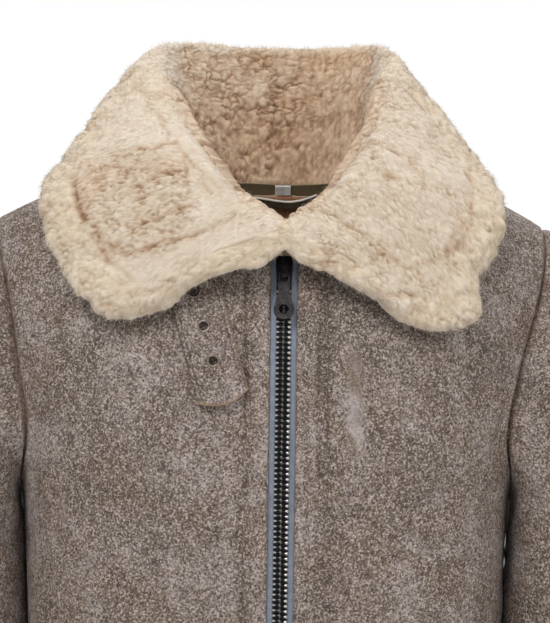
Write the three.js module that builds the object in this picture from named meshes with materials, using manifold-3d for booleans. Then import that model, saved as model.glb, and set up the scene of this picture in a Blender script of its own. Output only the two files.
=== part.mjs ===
// A sheepskin flying jacket, closed, in the hollow form of its wearer.
// Sizes are in millimetres. +X is the wearer's left, +Y the back, +Z up.
// The origin is in the middle of the neck's base, level with the inner ends of the shoulders.

import * as THREE from "three";
import { mergeVertices } from "three/addons/utils/BufferGeometryUtils.js";
import Module from "manifold-3d";

const wasm = await Module();
wasm.setup();

// Driving sizes
const HEM_Z = -640;
const UNDERARM_Z = -270;
const HALF_CHEST = 195;
const NECK_HALF = 88;
const NECK_FRONT = 104;
const NECK_BACK = 68;
const WALL = 6;
const SEAM_GAP = 0.3;
const ZIP_HALF = 10.3;
const RIGHT_EXTRA = 11;
const LEFT_EXTRA = -13;
const CENTRE_BAND = 12;
const COLLAR_HALF_THICK = 6.5;
const COLLAR_LIFT = 12.5;
const BACK_STATIONS = 8;
const FRONT_STATIONS = 12;
const BACK_SHARE = 8 / 19;
const TAPE_SINK = 2;
const TAPE_THICK = 1.2;
const TAPE_TOP_Z = -86.6;
const CHAIN_HALF = 5.2;
const CHAIN_THICK = 2.6;
const SLIDER_Z = -99.5;
const SLIDER_HALF_LENGTH = 13;
const BOX_TOP_Z = -618;
const STRAP_HALF = 20.3;
const STRAP_THICK = 3;
const EYELET_STEP = 27.3;
const EYELET_OUTER = 4.2;
const EYELET_INNER = 3.2;

// The trunk: half width, depth in front, depth behind and squareness at each level.
// Level 0 is the hem, 1 the underarm and 2 the shoulder ridge.
const TRUNK = [
  { level: 0, wide: 0.95, front: 118, back: 100, square: 2.5 },
  { level: 0.25, wide: 0.95, front: 121, back: 100, square: 2.5 },
  { level: 0.5, wide: 0.957, front: 127, back: 105, square: 2.45 },
  { level: 0.75, wide: 0.975, front: 133, back: 114, square: 2.4 },
  { level: 1, wide: 1, front: 137, back: 122, square: 2.35 },
  { level: 1.3, wide: 1.1, front: 137, back: 126, square: 2.3 },
  { level: 1.6, wide: 1.18, front: 136, back: 124, square: 2.3 },
  { level: 2, wide: 1.22, front: 136, back: 122, square: 2.3 },
];
const RIDGE = [
  { x: 0, z: 18 },
  { x: 88, z: 0 },
  { x: 150, z: -26 },
  { x: 200, z: -49 },
  { x: 240, z: -73 },
  { x: 280, z: -106 },
];
// How far round the trunk, in degrees from the side, each armhole edge lies.
const ARMHOLE = [
  { level: 1, frontRight: 0, frontLeft: 0, back: 0 },
  { level: 1.04, frontRight: 14, frontLeft: 14, back: 14 },
  { level: 1.12, frontRight: 25, frontLeft: 24.5, back: 25 },
  { level: 1.28, frontRight: 27, frontLeft: 25, back: 31 },
  { level: 1.5, frontRight: 28, frontLeft: 21.5, back: 32 },
  { level: 1.75, frontRight: 26.5, frontLeft: 22, back: 29.5 },
  { level: 2, frontRight: 26, frontLeft: 26, back: 26 },
];
const LOW_LEVELS = [0, 0.12, 0.25, 0.38, 0.51, 0.64, 0.76, 0.87, 0.95];
const FRONT_LEVELS = [1, 1.035, 1.08, 1.15, 1.24, 1.34];
const BACK_LEVELS = [1, 1.035, 1.08, 1.15, 1.24, 1.36, 1.5];
const COLUMNS = [0, 0.09, 0.18, 0.28, 0.38, 0.48, 0.58, 0.67, 0.745, 0.8, 0.854, 0.907, 0.934, 0.96, 1];

// Each sleeve: its line under the arm, its line over the arm, its middle's y and its half depth.
const SLEEVE = [
  { ring: 0, underX: 195, underZ: -270, overX: 220, overZ: -64, midY: 0, deep: 78 },
  { ring: 1, underX: 196.2, underZ: -277, overX: 238, overZ: -70, midY: 0, deep: 79 },
  { ring: 2, underX: 196, underZ: -286, overX: 256, overZ: -81, midY: 0, deep: 80 },
  { ring: 3, underX: 193.6, underZ: -298, overX: 276, overZ: -98, midY: -1, deep: 80 },
  { ring: 4, underX: 192.5, underZ: -314, overX: 294, overZ: -122, midY: -2, deep: 79 },
  { ring: 5, underX: 191.4, underZ: -334, overX: 308, overZ: -154, midY: -3, deep: 78 },
  { ring: 6, underX: 190.2, underZ: -358, overX: 318, overZ: -194, midY: -4, deep: 76 },
  { ring: 7, underX: 189.2, underZ: -386, overX: 325, overZ: -240, midY: -5, deep: 74 },
  { ring: 8, underX: 188.0, underZ: -416, overX: 327, overZ: -288, midY: -6, deep: 72 },
  { ring: 9, underX: 186.8, underZ: -448, overX: 325, overZ: -340, midY: -8, deep: 71 },
  { ring: 10, underX: 185.9, underZ: -484, overX: 320, overZ: -396, midY: -11, deep: 69 },
  { ring: 11, underX: 185.2, underZ: -526, overX: 313, overZ: -456, midY: -15, deep: 66 },
  { ring: 12, underX: 185.4, underZ: -572, overX: 305, overZ: -520, midY: -20, deep: 63 },
  { ring: 13, underX: 187, underZ: -621, overX: 298, overZ: -586, midY: -25, deep: 60 },
  { ring: 14, underX: 188, underZ: -669, overX: 292, overZ: -650, midY: -30, deep: 58 },
];
const SLEEVE_RINGS = [0, 0.4, 1, 1.8, 2.7, 3.7, 4.7, 5.7, 6.7, 7.6, 8.5, 9.4, 10.3, 11.2, 12.1, 13.1, 14];
const CAP_RINGS = 5;

// Soft folds: a line from one point to another seen from the front, with its depth and half width.
const FOLDS = [
  { x1: 228, z1: -190, x2: 200, z2: -236, depth: 5, wide: 9 },
  { x1: 250, z1: -240, x2: 204, z2: -300, depth: 4, wide: 12 },
  { x1: 205, z1: -330, x2: 232, z2: -292, depth: 5, wide: 9 },
  { x1: 300, z1: -300, x2: 236, z2: -352, depth: 4, wide: 12 },
  { x1: 320, z1: -395, x2: 244, z2: -410, depth: 4, wide: 10 },
  { x1: 236, z1: -455, x2: 318, z2: -440, depth: 3.5, wide: 11 },
  { x1: -228, z1: -196, x2: -203, z2: -250, depth: 4, wide: 10 },
  { x1: -250, z1: -250, x2: -206, z2: -310, depth: 4, wide: 12 },
  { x1: -302, z1: -310, x2: -240, z2: -356, depth: 4, wide: 12 },
  { x1: -322, z1: -400, x2: -246, z2: -416, depth: 4, wide: 10 },
  { x1: -238, z1: -462, x2: -318, z2: -448, depth: 3.5, wide: 11 },
  { x1: 29, z1: -90, x2: 29, z2: -640, depth: 1.6, wide: 4.5 },
  { x1: -29, z1: -90, x2: -29, z2: -640, depth: 1.6, wide: 4.5 },
  { x1: 52, z1: -140, x2: 52, z2: -300, depth: -2.2, wide: 9 },
];

// Gives each row of a table the names of its columns.
function named(names, rows) {
  const keys = names.split(" ");
  return rows.map((row) => Object.fromEntries(keys.map((key, i) => [key, row[i]])));
}

// The collar from the middle of the back (at 0) to the middle of the front (at 1): its roll line,
// how far it runs out and up as it crosses that line, its free edge, how far the left leaf lies
// further out and down than the right one, and its thickness.
const COLLAR = named(
  "at rollX rollY rollZ out up edgeX edgeY edgeZ leanX leanZ rollLean thick",
  [
    [0, 0, 90, 30, 10, 48, 0, 106, 88, 0, 0, 0, 1],
    [0.11, 39, 84, 31, 10, 48, 43, 102, 89, 0, 0, 0, 1],
    [0.21, 70, 67, 37, 12, 48, 80, 87, 90, -1, 0, -2, 1],
    [0.3, 86, 46, 49, 16, 44, 96.2, 64, 84, -5, 0, -4, 1],
    [0.37, 86, 28, 51, 24, 36, 114.5, 45, 60, -6.5, 0, -5, 1],
    [0.43, 81, 10, 39, 30, 32, 137.5, 25, 28, -4.5, 0, -3, 1],
    [0.5, 73, -9, 20, 32, 28, 161, 2, -5, -0.5, 0, 0, 1],
    [0.58, 64, -28, 3, 33, 25, 176, -24, -35, 0, 0, 0, 1],
    [0.66, 54, -46, -15, 34, 23, 178, -52, -63, 2, 0, 0, 1],
    [0.72, 45, -60, -28, 34, 21, 173, -76, -82, 2, 0, 0, 1],
    [0.77, 38, -71, -37, 34, 19, 159, -96, -104, 1, 0, 0, 0.98],
    [0.82, 29, -83, -45, 33, 17, 151, -110, -127, 10, -3, 0, 0.95],
    [0.86, 22, -92, -50, 32, 14, 130, -118, -138, 9, -2, 0, 0.92],
    [0.9, 15, -100, -54, 31, 10, 99, -125, -134, 7, -4, 0, 0.88],
    [0.945, 9, -107, -58, 29, 6, 70, -129, -113, 3, -3, 0, 0.83],
    [0.975, 4, -111, -60, 28, 3, 37, -132, -101, 0, -1, 0, 0.79],
    [0.988, 2.2, -112.5, -60.5, 27, 1.4, 19, -133, -98, 0, 0, 0, 0.77],
    [1, 0.6, -114, -61, 26, 0, 1.2, -134, -86, 0, 0, 0, 0.75],
  ],
);
const NECK_AXIS_Y = -18;
const STAND_ROWS = [0, 0.2, 0.45, 0.72];
const LEAF_ROWS = [0, 0.1, 0.21, 0.33, 0.46, 0.6, 0.73, 0.85, 0.93, 0.975, 1];

// Small vectors
const add = (a, b, k = 1) => [a[0] + b[0] * k, a[1] + b[1] * k, a[2] + b[2] * k];
const sub = (a, b) => [a[0] - b[0], a[1] - b[1], a[2] - b[2]];
const scale = (a, k) => [a[0] * k, a[1] * k, a[2] * k];
const dot = (a, b) => a[0] * b[0] + a[1] * b[1] + a[2] * b[2];
const cross = (a, b) => [a[1] * b[2] - a[2] * b[1], a[2] * b[0] - a[0] * b[2], a[0] * b[1] - a[1] * b[0]];
const size = (a) => Math.sqrt(dot(a, a));
const unit = (a) => scale(a, 1 / (size(a) || 1));
const clamp = (v, low, high) => Math.min(high, Math.max(low, v));
const smooth = (v) => clamp(v, 0, 1) ** 2 * (3 - 2 * clamp(v, 0, 1));
const radians = (d) => (d * Math.PI) / 180;
const degrees = (r) => (r * 180) / Math.PI;

// Reads one column of a table between its rows along a smooth curve.
function read(rows, key, at, column) {
  const last = rows.length - 1;
  const t = clamp(at, rows[0][key], rows[last][key]);
  let i = 0;
  while (i < last - 1 && t >= rows[i + 1][key]) i += 1;
  const slope = (j) => {
    const a = rows[Math.max(j - 1, 0)];
    const b = rows[Math.min(j + 1, last)];
    return (b[column] - a[column]) / (b[key] - a[key]);
  };
  const span = rows[i + 1][key] - rows[i][key];
  const u = (t - rows[i][key]) / span;
  return (
    (2 * u ** 3 - 3 * u ** 2 + 1) * rows[i][column] +
    (u ** 3 - 2 * u ** 2 + u) * slope(i) * span +
    (3 * u ** 2 - 2 * u ** 3) * rows[i + 1][column] +
    (u ** 3 - u ** 2) * slope(i + 1) * span
  );
}

// A point of the trunk's outside. Turn is 0 at the side and 90 in the middle; facing is -1 for the front.
function trunk(turn, level, facing) {
  const wide = HALF_CHEST * read(TRUNK, "level", level, "wide");
  const deep = read(TRUNK, "level", level, facing < 0 ? "front" : "back");
  const n = read(TRUNK, "level", level, "square");
  const c = Math.abs(Math.cos(radians(turn)));
  const s = Math.abs(Math.sin(radians(turn)));
  const reach = (c ** n + s ** n) ** (-1 / n);
  const x = wide * c * reach;
  const rise = radians(clamp(level - 1, 0, 1) * 90);
  const z =
    level < 1
      ? HEM_Z + (UNDERARM_Z - HEM_Z) * level
      : UNDERARM_Z + (read(RIDGE, "x", x, "z") - UNDERARM_Z) * Math.sin(rise);
  return [x, facing * deep * s * reach * Math.cos(rise), z];
}

// The turn and level of the upper trunk's point over a given x and y.
function place(x, y, facing) {
  let level = 1.7;
  let turn = 0;
  for (let i = 0; i < 14; i += 1) {
    const wide = HALF_CHEST * read(TRUNK, "level", level, "wide");
    const deep = read(TRUNK, "level", level, facing < 0 ? "front" : "back");
    const n = read(TRUNK, "level", level, "square");
    const q = x / wide;
    const s = (1 - q ** n) ** (1 / n);
    turn = degrees(Math.atan2(s, q));
    level = 1 + degrees(Math.acos(clamp(Math.abs(y) / (deep * s), 0, 1))) / 90;
  }
  return [turn, level];
}

// The two halves have their own widths, as the jacket hangs.
function hung(side, p) {
  const u = clamp((Math.abs(p[0]) - CENTRE_BAND) / (HALF_CHEST - CENTRE_BAND), 0, 1.5);
  const extra = side < 0 ? RIGHT_EXTRA : LEFT_EXTRA;
  return [side * (p[0] + (extra * Math.sin(radians(60 * u))) / Math.sin(radians(60))), p[1], p[2]];
}

// The y of the trunk's outside at an x and z of the finished jacket.
function trunkY(x, z, facing) {
  const side = x < 0 ? -1 : 1;
  let plain = Math.abs(x);
  for (let i = 0; i < 8; i += 1) plain += Math.abs(x) - Math.abs(hung(side, [plain, 0, 0])[0]);
  const top = read(RIDGE, "x", plain, "z");
  const level =
    z < UNDERARM_Z
      ? (z - HEM_Z) / (UNDERARM_Z - HEM_Z)
      : 1 + degrees(Math.asin(clamp((z - UNDERARM_Z) / (top - UNDERARM_Z), 0, 1))) / 90;
  const n = read(TRUNK, "level", level, "square");
  const q = plain / (HALF_CHEST * read(TRUNK, "level", level, "wide"));
  const deep = read(TRUNK, "level", level, facing < 0 ? "front" : "back");
  return facing * deep * (1 - q ** n) ** (1 / n) * Math.cos(radians(clamp(level - 1, 0, 1) * 90));
}

// Presses the folds into points that face the front.
function folded(p, facing) {
  if (facing > 0) return p;
  let y = p[1];
  for (const fold of FOLDS) {
    const along = [fold.x2 - fold.x1, fold.z2 - fold.z1];
    const from = [p[0] - fold.x1, p[2] - fold.z1];
    const t = clamp((from[0] * along[0] + from[1] * along[1]) / (along[0] ** 2 + along[1] ** 2), 0, 1);
    const away = Math.hypot(from[0] - along[0] * t, from[1] - along[1] * t);
    y += fold.depth * Math.exp(-((away / fold.wide) ** 2));
  }
  return [p[0], y, p[2]];
}

// The neckline's stations, from the middle of the back (0) to the zip's edge, and past it to the middle.
const CORNER_TURN = degrees(Math.asin(ZIP_HALF / NECK_HALF));
function neckStation(j) {
  const facing = j <= BACK_STATIONS ? 1 : -1;
  const past = j - BACK_STATIONS;
  let tau = (j / BACK_STATIONS) * 90;
  if (facing < 0) tau = 90 - (past / FRONT_STATIONS) * (90 - CORNER_TURN);
  if (past > FRONT_STATIONS) tau = degrees(Math.asin(0.7 / NECK_HALF));
  const depth = facing < 0 ? NECK_FRONT : NECK_BACK;
  const x = NECK_HALF * Math.sin(radians(tau));
  const y = facing * depth * Math.cos(radians(tau));
  const [turn, level] = place(x, y, facing);
  return { turn, level: j === BACK_STATIONS ? 2 : level, facing };
}

// Half a front or back as a grid of points, rows upwards and columns from the side to the middle.
function panelGrid(facing, side, columns, step = 1) {
  const low = facing < 0 ? FRONT_LEVELS : BACK_LEVELS;
  const rows = [...LOW_LEVELS, ...low].map((level) => ({ level, inner: facing < 0 ? null : 90 }));
  const first = facing < 0 ? BACK_STATIONS + FRONT_STATIONS : 0;
  const count = Math.abs(BACK_STATIONS - first) / step;
  for (let i = 0; i <= count; i += 1) {
    const station = neckStation(first + facing * step * i);
    rows.push({ level: station.level, inner: station.turn });
  }
  return rows.map(({ level, inner }) => {
    const edge = side < 0 ? "frontRight" : "frontLeft";
    const start = level > 1 ? read(ARMHOLE, "level", level, facing < 0 ? edge : "back") : 0;
    const wide = HALF_CHEST * read(TRUNK, "level", level, "wide");
    const n = read(TRUNK, "level", level, "square");
    const q = ZIP_HALF / wide;
    const end = inner ?? degrees(Math.atan2((1 - q ** n) ** (1 / n), q));
    return columns.map((share) => {
      const p = hung(side, trunk(start + (end - start) * share, level, facing));
      return share === 0 || level === 2 ? p : folded(p, facing);
    });
  });
}

// Pieces of cloth: points merged where they meet, faces, and each point's own direction outwards.
const keyOf = (p) => p.map((v) => Math.round(v * 200)).join(",");
class Cloth {
  constructor(name) {
    this.name = name;
    this.points = [];
    this.faces = [];
    this.index = new Map();
  }
  point(p) {
    const key = keyOf(p);
    if (!this.index.has(key)) {
      this.index.set(key, this.points.length);
      this.points.push(p);
    }
    return this.index.get(key);
  }
  grid(rows, flip, around = false) {
    const count = rows[0].length;
    for (let r = 0; r + 1 < rows.length; r += 1) {
      for (let c = 0; c + (around ? 0 : 1) < count; c += 1) {
        const d = (c + 1) % count;
        const quad = [rows[r][c], rows[r][d], rows[r + 1][d], rows[r + 1][c]].map((p) => this.point(p));
        for (const face of [
          [quad[0], quad[1], quad[3]],
          [quad[1], quad[2], quad[3]],
        ]) {
          if (new Set(face).size === 3) this.faces.push(flip ? face.reverse() : face);
        }
      }
    }
  }
  outward() {
    const sums = this.points.map(() => [0, 0, 0]);
    for (const face of this.faces) {
      const [a, b, c] = face.map((i) => this.points[i]);
      const normal = cross(sub(b, a), sub(c, a));
      for (const i of face) sums[i] = add(sums[i], unit(normal), Math.sqrt(size(normal)));
    }
    return sums.map(unit);
  }
  // Edges that only one face uses, each in the direction its face runs.
  borders() {
    const seen = new Map();
    for (const [a, b, c] of this.faces) {
      for (const [i, j] of [
        [a, b],
        [b, c],
        [c, a],
      ]) {
        seen.set(`${i},${j}`, [i, j]);
      }
    }
    return [...seen.values()].filter(([i, j]) => !seen.has(`${j},${i}`));
  }
}

// Directions that pieces share where they are sewn together.
const shared = new Map();
function shareDirections(cloth) {
  cloth.normals = cloth.outward();
  cloth.points.forEach((p, i) => {
    const key = keyOf(p);
    shared.set(key, add(shared.get(key) ?? [0, 0, 0], cloth.normals[i]));
  });
}

// How far each border point steps back from its seams.
function stepBack(cloth) {
  const shifts = new Map();
  for (const [i, j] of cloth.borders()) {
    const along = unit(sub(cloth.points[j], cloth.points[i]));
    for (const k of [i, j]) {
      const into = unit(cross(unit(shared.get(keyOf(cloth.points[k]))), along));
      const before = shifts.get(k);
      if (!before) {
        shifts.set(k, into);
      } else {
        shifts.set(k, scale(add(before, into), 1 / Math.max(0.35, 1 + dot(before, into))));
      }
    }
  }
  return shifts;
}

function meshOf(name, points, triangles, slot) {
  const geometry = new THREE.BufferGeometry();
  geometry.setAttribute("position", new THREE.Float32BufferAttribute(points.flat(), 3));
  geometry.setIndex(triangles.flat());
  geometry.computeVertexNormals();
  const mesh = new THREE.Mesh(geometry, new THREE.MeshStandardMaterial({ color: COLOURS[slot] }));
  mesh.name = name;
  return mesh;
}

const COLOURS = {
  leather: 0x7a6e66,
  fleece: 0xe0d2bb,
  tape: 0x78808c,
  metal: 0x4a4648,
  eyelet: 0x6a6560,
  label: 0xf0eee8,
  patch: 0x94684a,
  loop: 0x554a40,
};

// Joins an outer and an inner skin over the same faces into one closed body.
function closedBody(name, cloth, outer, inner, slot) {
  const count = outer.length;
  const triangles = cloth.faces.map((face) => [...face]);
  for (const [a, b, c] of cloth.faces) triangles.push([c + count, b + count, a + count]);
  // Two pieces that meet split each seam face along the same diagonal.
  for (const [i, j] of cloth.borders()) {
    if (keyOf(cloth.points[i]) < keyOf(cloth.points[j])) {
      triangles.push([j, i, i + count], [j, i + count, j + count]);
    } else {
      triangles.push([j, i, j + count], [i, i + count, j + count]);
    }
  }
  return meshOf(name, [...outer, ...inner], triangles, slot);
}

function wallBody(name, cloth, slot) {
  const shifts = stepBack(cloth);
  const outer = [];
  const inner = [];
  cloth.points.forEach((p, i) => {
    const out = unit(shared.get(keyOf(p)));
    const start = add(p, shifts.get(i) ?? [0, 0, 0], SEAM_GAP / 2);
    const mitre = 1 / clamp(dot(out, cloth.normals[i]), 0.78, 1);
    outer.push(start);
    inner.push(add(start, out, -WALL * mitre));
  });
  return closedBody(name, cloth, outer, inner, slot);
}

// The panels
const fronts = { "-1": new Cloth("front_right"), 1: new Cloth("front_left") };
const back = new Cloth("back");
const grids = {};
for (const side of [-1, 1]) {
  grids[`front${side}`] = panelGrid(-1, side, COLUMNS);
  grids[`back${side}`] = panelGrid(1, side, COLUMNS);
  fronts[side].grid(grids[`front${side}`], side > 0);
  back.grid(grids[`back${side}`], side < 0);
}

// The sleeves start from the armhole's own points.
function sleeveGrid(side) {
  const frontEdge = grids[`front${side}`].slice(LOW_LEVELS.length).map((row) => row[0]);
  const backEdge = grids[`back${side}`].slice(LOW_LEVELS.length).map((row) => row[0]);
  const armhole = [...frontEdge, ...backEdge.slice(1, -1).reverse()];
  const turns = [];
  for (const [edge, from, to] of [
    [frontEdge, 0, 180],
    [[...backEdge].reverse(), 180, 360],
  ]) {
    const lengths = [0];
    for (let i = 1; i < edge.length; i += 1) lengths.push(lengths[i - 1] + size(sub(edge[i], edge[i - 1])));
    const full = lengths[lengths.length - 1];
    for (let i = 0; i + 1 < edge.length; i += 1) turns.push(from + ((to - from) * lengths[i]) / full);
  }
  const ringPoint = (ring, turn) => {
    const at = (column) => read(SLEEVE, "ring", ring, column);
    const along = Math.cos(radians(turn));
    const x = (at("underX") + at("overX")) / 2 - (along * (at("overX") - at("underX"))) / 2;
    const z = (at("underZ") + at("overZ")) / 2 - (along * (at("overZ") - at("underZ"))) / 2;
    return hung(side, [x, at("midY") - at("deep") * Math.sin(radians(turn)), z]);
  };
  return SLEEVE_RINGS.map((ring) =>
    armhole.map((p, i) => {
      const keep = 1 - smooth(ring / CAP_RINGS);
      const own = ringPoint(ring, turns[i]);
      const moved = add(own, sub(p, ringPoint(0, turns[i])), keep);
      if (ring === 0) return p;
      return turns[i] > 8 && turns[i] < 172 ? partlyFolded(moved, smooth(ring / 2)) : moved;
    }),
  );
}

function partlyFolded(p, amount) {
  const pressed = folded(p, -1);
  return [p[0], p[1] + (pressed[1] - p[1]) * amount, p[2]];
}

const sleeves = { "-1": new Cloth("sleeve_right"), 1: new Cloth("sleeve_left") };
for (const side of [-1, 1]) sleeves[side].grid(sleeveGrid(side), side > 0, true);

// The collar's middle surface: from the neckline over the roll to the free edge.
const restPoints = [];
for (const facing of [-1, 1]) {
  const plain = panelGrid(facing, 1, COLUMNS, 0.5);
  const rows = plain.slice(LOW_LEVELS.length).map((row) => row.map(unhung));
  for (let r = 0; r + 1 < rows.length; r += 1) {
    for (let c = 0; c + 1 < rows[r].length; c += 1) {
      const across = sub(rows[r][c + 1], rows[r][c]);
      const upward = sub(rows[r + 1][c], rows[r][c]);
      const out = unit(scale(cross(across, upward), facing));
      restPoints.push({ p: rows[r][c], out: size(out) > 0.5 ? out : [0, 0, 1] });
    }
  }
}

function unhung(p) {
  let plain = p[0];
  for (let i = 0; i < 8; i += 1) plain += p[0] - hung(1, [plain, 0, 0])[0];
  return [plain, p[1], p[2]];
}

// Lifts a point clear of the shoulders and chest.
function lifted(p, clear) {
  let best = null;
  for (const rest of restPoints) {
    const away = size(sub(p, rest.p));
    if (!best || away < best.away) best = { away, rest };
  }
  const height = dot(sub(p, best.rest.p), best.rest.out);
  const side = Math.sqrt(Math.max(0, best.away ** 2 - height ** 2));
  const need = clear * (1 - smooth((side - 9) / 12));
  const short = need - height;
  const push = short <= -4 ? 0 : short >= 4 ? short : (short + 4) ** 2 / 16;
  return add(p, best.rest.out, push);
}

function collarColumn(j, side) {
  const station = neckStation(j);
  const past = (j - BACK_STATIONS) / (FRONT_STATIONS + 1);
  const at = past < 0 ? (BACK_SHARE * j) / BACK_STATIONS : BACK_SHARE + (1 - BACK_SHARE) * past;
  const get = (column) => read(COLLAR, "at", at, column);
  const base = trunk(station.turn, station.level, station.facing);
  const roll = [get("rollX") + side * get("rollLean"), get("rollY"), get("rollZ")];
  const edge = [get("edgeX") + side * get("leanX"), get("edgeY"), get("edgeZ") + side * get("leanZ")];
  const away = unit([roll[0], roll[1] - NECK_AXIS_Y, 0]);
  const over = [away[0] * get("out"), away[1] * get("out"), get("up")];
  const rise = size(sub(roll, base));
  const start = add(scale(sub(roll, base), 0.8), [0, 0, 1], rise * 0.25);
  const drop = smooth((at - 0.25) / 0.2);
  const finish = add(scale(sub(edge, roll), 0.8), [0, 0, -30], drop);
  const points = [];
  const turnIn = scale(over, Math.min(1, rise / 60));
  for (const t of STAND_ROWS) points.push({ p: hermite(base, start, roll, turnIn, t), t: 0, stand: t });
  for (const t of LEAF_ROWS) {
    const p = hermite(roll, scale(over, 1 + drop * 0.5), edge, finish, t);
    points.push({ p: lifted(p, COLLAR_LIFT * drop * smooth(t * 5)), t, stand: 1 });
  }
  const reach = size(sub(edge, roll));
  return points.map(({ p, t, stand }) => {
    const left = (1 - t) * reach;
    const inset = clamp(1 - left / COLLAR_HALF_THICK, 0, 1);
    const edgeRound = Math.max(0.3, Math.sqrt(1 - inset ** 2));
    const full = COLLAR_HALF_THICK * get("thick") * edgeRound;
    const half = WALL / 2 + (full - WALL / 2) * smooth(stand / 0.7);
    return { p: hung(side, p), half: at > 0.97 ? half * 0.6 : half };
  });
}

function hermite(a, slopeA, b, slopeB, t) {
  let p = scale(a, 2 * t ** 3 - 3 * t ** 2 + 1);
  p = add(p, slopeA, t ** 3 - 2 * t ** 2 + t);
  p = add(p, b, 3 * t ** 2 - 2 * t ** 3);
  return add(p, slopeB, t ** 3 - t ** 2);
}

const collar = new Cloth("collar");
const columns = [];
const LAST_STATION = BACK_STATIONS + FRONT_STATIONS + 1;
for (let j = -LAST_STATION; j <= LAST_STATION; j += 1) {
  columns.push(collarColumn(Math.abs(j), j < 0 ? -1 : 1));
}
const collarRows = columns[0].map((_, r) => columns.map((column) => column[r].p));
const halves = new Map();
columns.forEach((column) => column.forEach(({ p, half }) => halves.set(keyOf(p), half)));
collar.grid(collarRows, true);

const cloths = [fronts[-1], fronts[1], back, sleeves[-1], sleeves[1]];
for (const cloth of [...cloths, collar]) shareDirections(cloth);

// The edges beside the zip are cut square to the front.
for (const [key, out] of shared) {
  if (Math.abs(Number(key.split(",")[0])) <= ZIP_HALF * 200 + 1) out[0] = 0;
}

function collarBody() {
  const shifts = stepBack(collar);
  const outer = [];
  const inner = [];
  collar.points.forEach((p, i) => {
    const key = keyOf(p);
    const base = collarRows[0].some((q) => keyOf(q) === key);
    const out = unit(shared.get(key));
    if (base) {
      const mitre = 1 / clamp(dot(out, collar.normals[i]), 0.78, 1);
      const start = add(p, shifts.get(i), SEAM_GAP / 2);
      outer.push(start);
      inner.push(add(start, out, -WALL * mitre));
    } else {
      const sunk = columns.find((column) => column.some((q) => keyOf(q.p) === key));
      const foot = sunk[0].p;
      const settle = 1 - smooth(size(sub(p, foot)) / 25);
      const middle = add(p, unit(shared.get(keyOf(foot))), (-WALL / 2) * settle);
      outer.push(add(middle, out, halves.get(key)));
      inner.push(add(middle, out, -halves.get(key)));
    }
  });
  return closedBody("collar", collar, outer, inner, "fleece");
}

// A body swept through closed loops of points, capped at both ends.
function sweep(name, loops, slot) {
  const count = loops[0].length;
  const triangles = [];
  for (let r = 0; r + 1 < loops.length; r += 1) {
    for (let c = 0; c < count; c += 1) {
      const a = r * count + c;
      const b = r * count + ((c + 1) % count);
      triangles.push([a, b, b + count], [a, b + count, a + count]);
    }
  }
  const lastLoop = (loops.length - 1) * count;
  for (let c = 1; c + 1 < count; c += 1) {
    triangles.push([0, c + 1, c], [lastLoop, lastLoop + c, lastLoop + c + 1]);
  }
  return meshOf(name, loops.flat(), triangles, slot);
}

// The line down the middle of the front and its direction outwards.
function middle(z) {
  const slope = (trunkY(0, z + 1, -1) - trunkY(0, z - 1, -1)) / 2;
  return { p: [0, trunkY(0, z, -1), z], out: unit([0, -1, slope]) };
}

// A strip down the front between two x values and two distances out from the middle line.
function frontStrip({ name, x0, x1, out0, out1, top, bottom, slot }) {
  const steps = 22;
  const loops = [];
  for (let i = 0; i <= steps; i += 1) {
    const { p, out } = middle(bottom + ((top - bottom) * i) / steps);
    const low = add(p, out, out0);
    const high = add(p, out, out1);
    loops.push([
      [x0, high[1], high[2]],
      [x1, high[1], high[2]],
      [x1, low[1], low[2]],
      [x0, low[1], low[2]],
    ]);
  }
  return sweep(name, loops, slot);
}

const tapeFront = -TAPE_SINK;
const tapeOuter = ZIP_HALF - SEAM_GAP / 2;
const chainBack = tapeFront + SEAM_GAP;
const sliderFrame = middle(SLIDER_Z);
const sliderFoot = SLIDER_Z + SLIDER_HALF_LENGTH * sliderFrame.out[1];

// Small metal parts are drawn flat, x to the right, y up along the chest and z out from it.
const localUp = unit(cross(sliderFrame.out, [1, 0, 0]));
const toChest = new THREE.Matrix4().makeBasis(
  new THREE.Vector3(1, 0, 0),
  new THREE.Vector3(...localUp),
  new THREE.Vector3(...sliderFrame.out),
);
toChest.setPosition(...sliderFrame.p);

function solid(geometry) {
  const bare = geometry.clone();
  bare.deleteAttribute("normal");
  bare.deleteAttribute("uv");
  const merged = mergeVertices(bare, 1e-4);
  return new wasm.Manifold(
    new wasm.Mesh({
      numProp: 3,
      vertProperties: new Float32Array(merged.attributes.position.array),
      triVerts: new Uint32Array(merged.index.array),
    }),
  );
}

function block(x0, x1, y0, y1, z0, z1) {
  const box = new THREE.BoxGeometry(x1 - x0, y1 - y0, z1 - z0);
  return solid(box.translate((x0 + x1) / 2, (y0 + y1) / 2, (z0 + z1) / 2));
}

function disc(radius, y, z0, z1, sides = 28) {
  const round = new THREE.CylinderGeometry(radius, radius, z1 - z0, sides).rotateX(Math.PI / 2);
  return solid(round.translate(0, y, (z0 + z1) / 2));
}

function plate(corners, z0, z1) {
  const shape = new THREE.Shape(corners.map(([x, y]) => new THREE.Vector2(x, y)));
  return solid(new THREE.ExtrudeGeometry(shape, { depth: z1 - z0, bevelEnabled: false }).translate(0, 0, z0));
}

function fromSolid(name, made, matrix, slot) {
  const { vertProperties, triVerts } = made.getMesh();
  const geometry = new THREE.BufferGeometry();
  geometry.setAttribute("position", new THREE.BufferAttribute(new Float32Array(vertProperties), 3));
  geometry.setIndex([...triVerts]);
  if (matrix) geometry.applyMatrix4(matrix);
  geometry.computeVertexNormals();
  const mesh = new THREE.Mesh(geometry, new THREE.MeshStandardMaterial({ color: COLOURS[slot] }));
  mesh.name = name;
  return mesh;
}

// The slider: a body that narrows downwards and a bridge with an eye for the pull tab's bar.
const PLATE_TOP = 2.6;
const BAR = { y: -1, z: 3.9, radius: 0.9 };
const PULL = { half: 4.4, inner: 2.7, shoulder: -9.5, step: -18.3, roundY: -31.4, roundR: 7.95, holeR: 3.8 };

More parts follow.
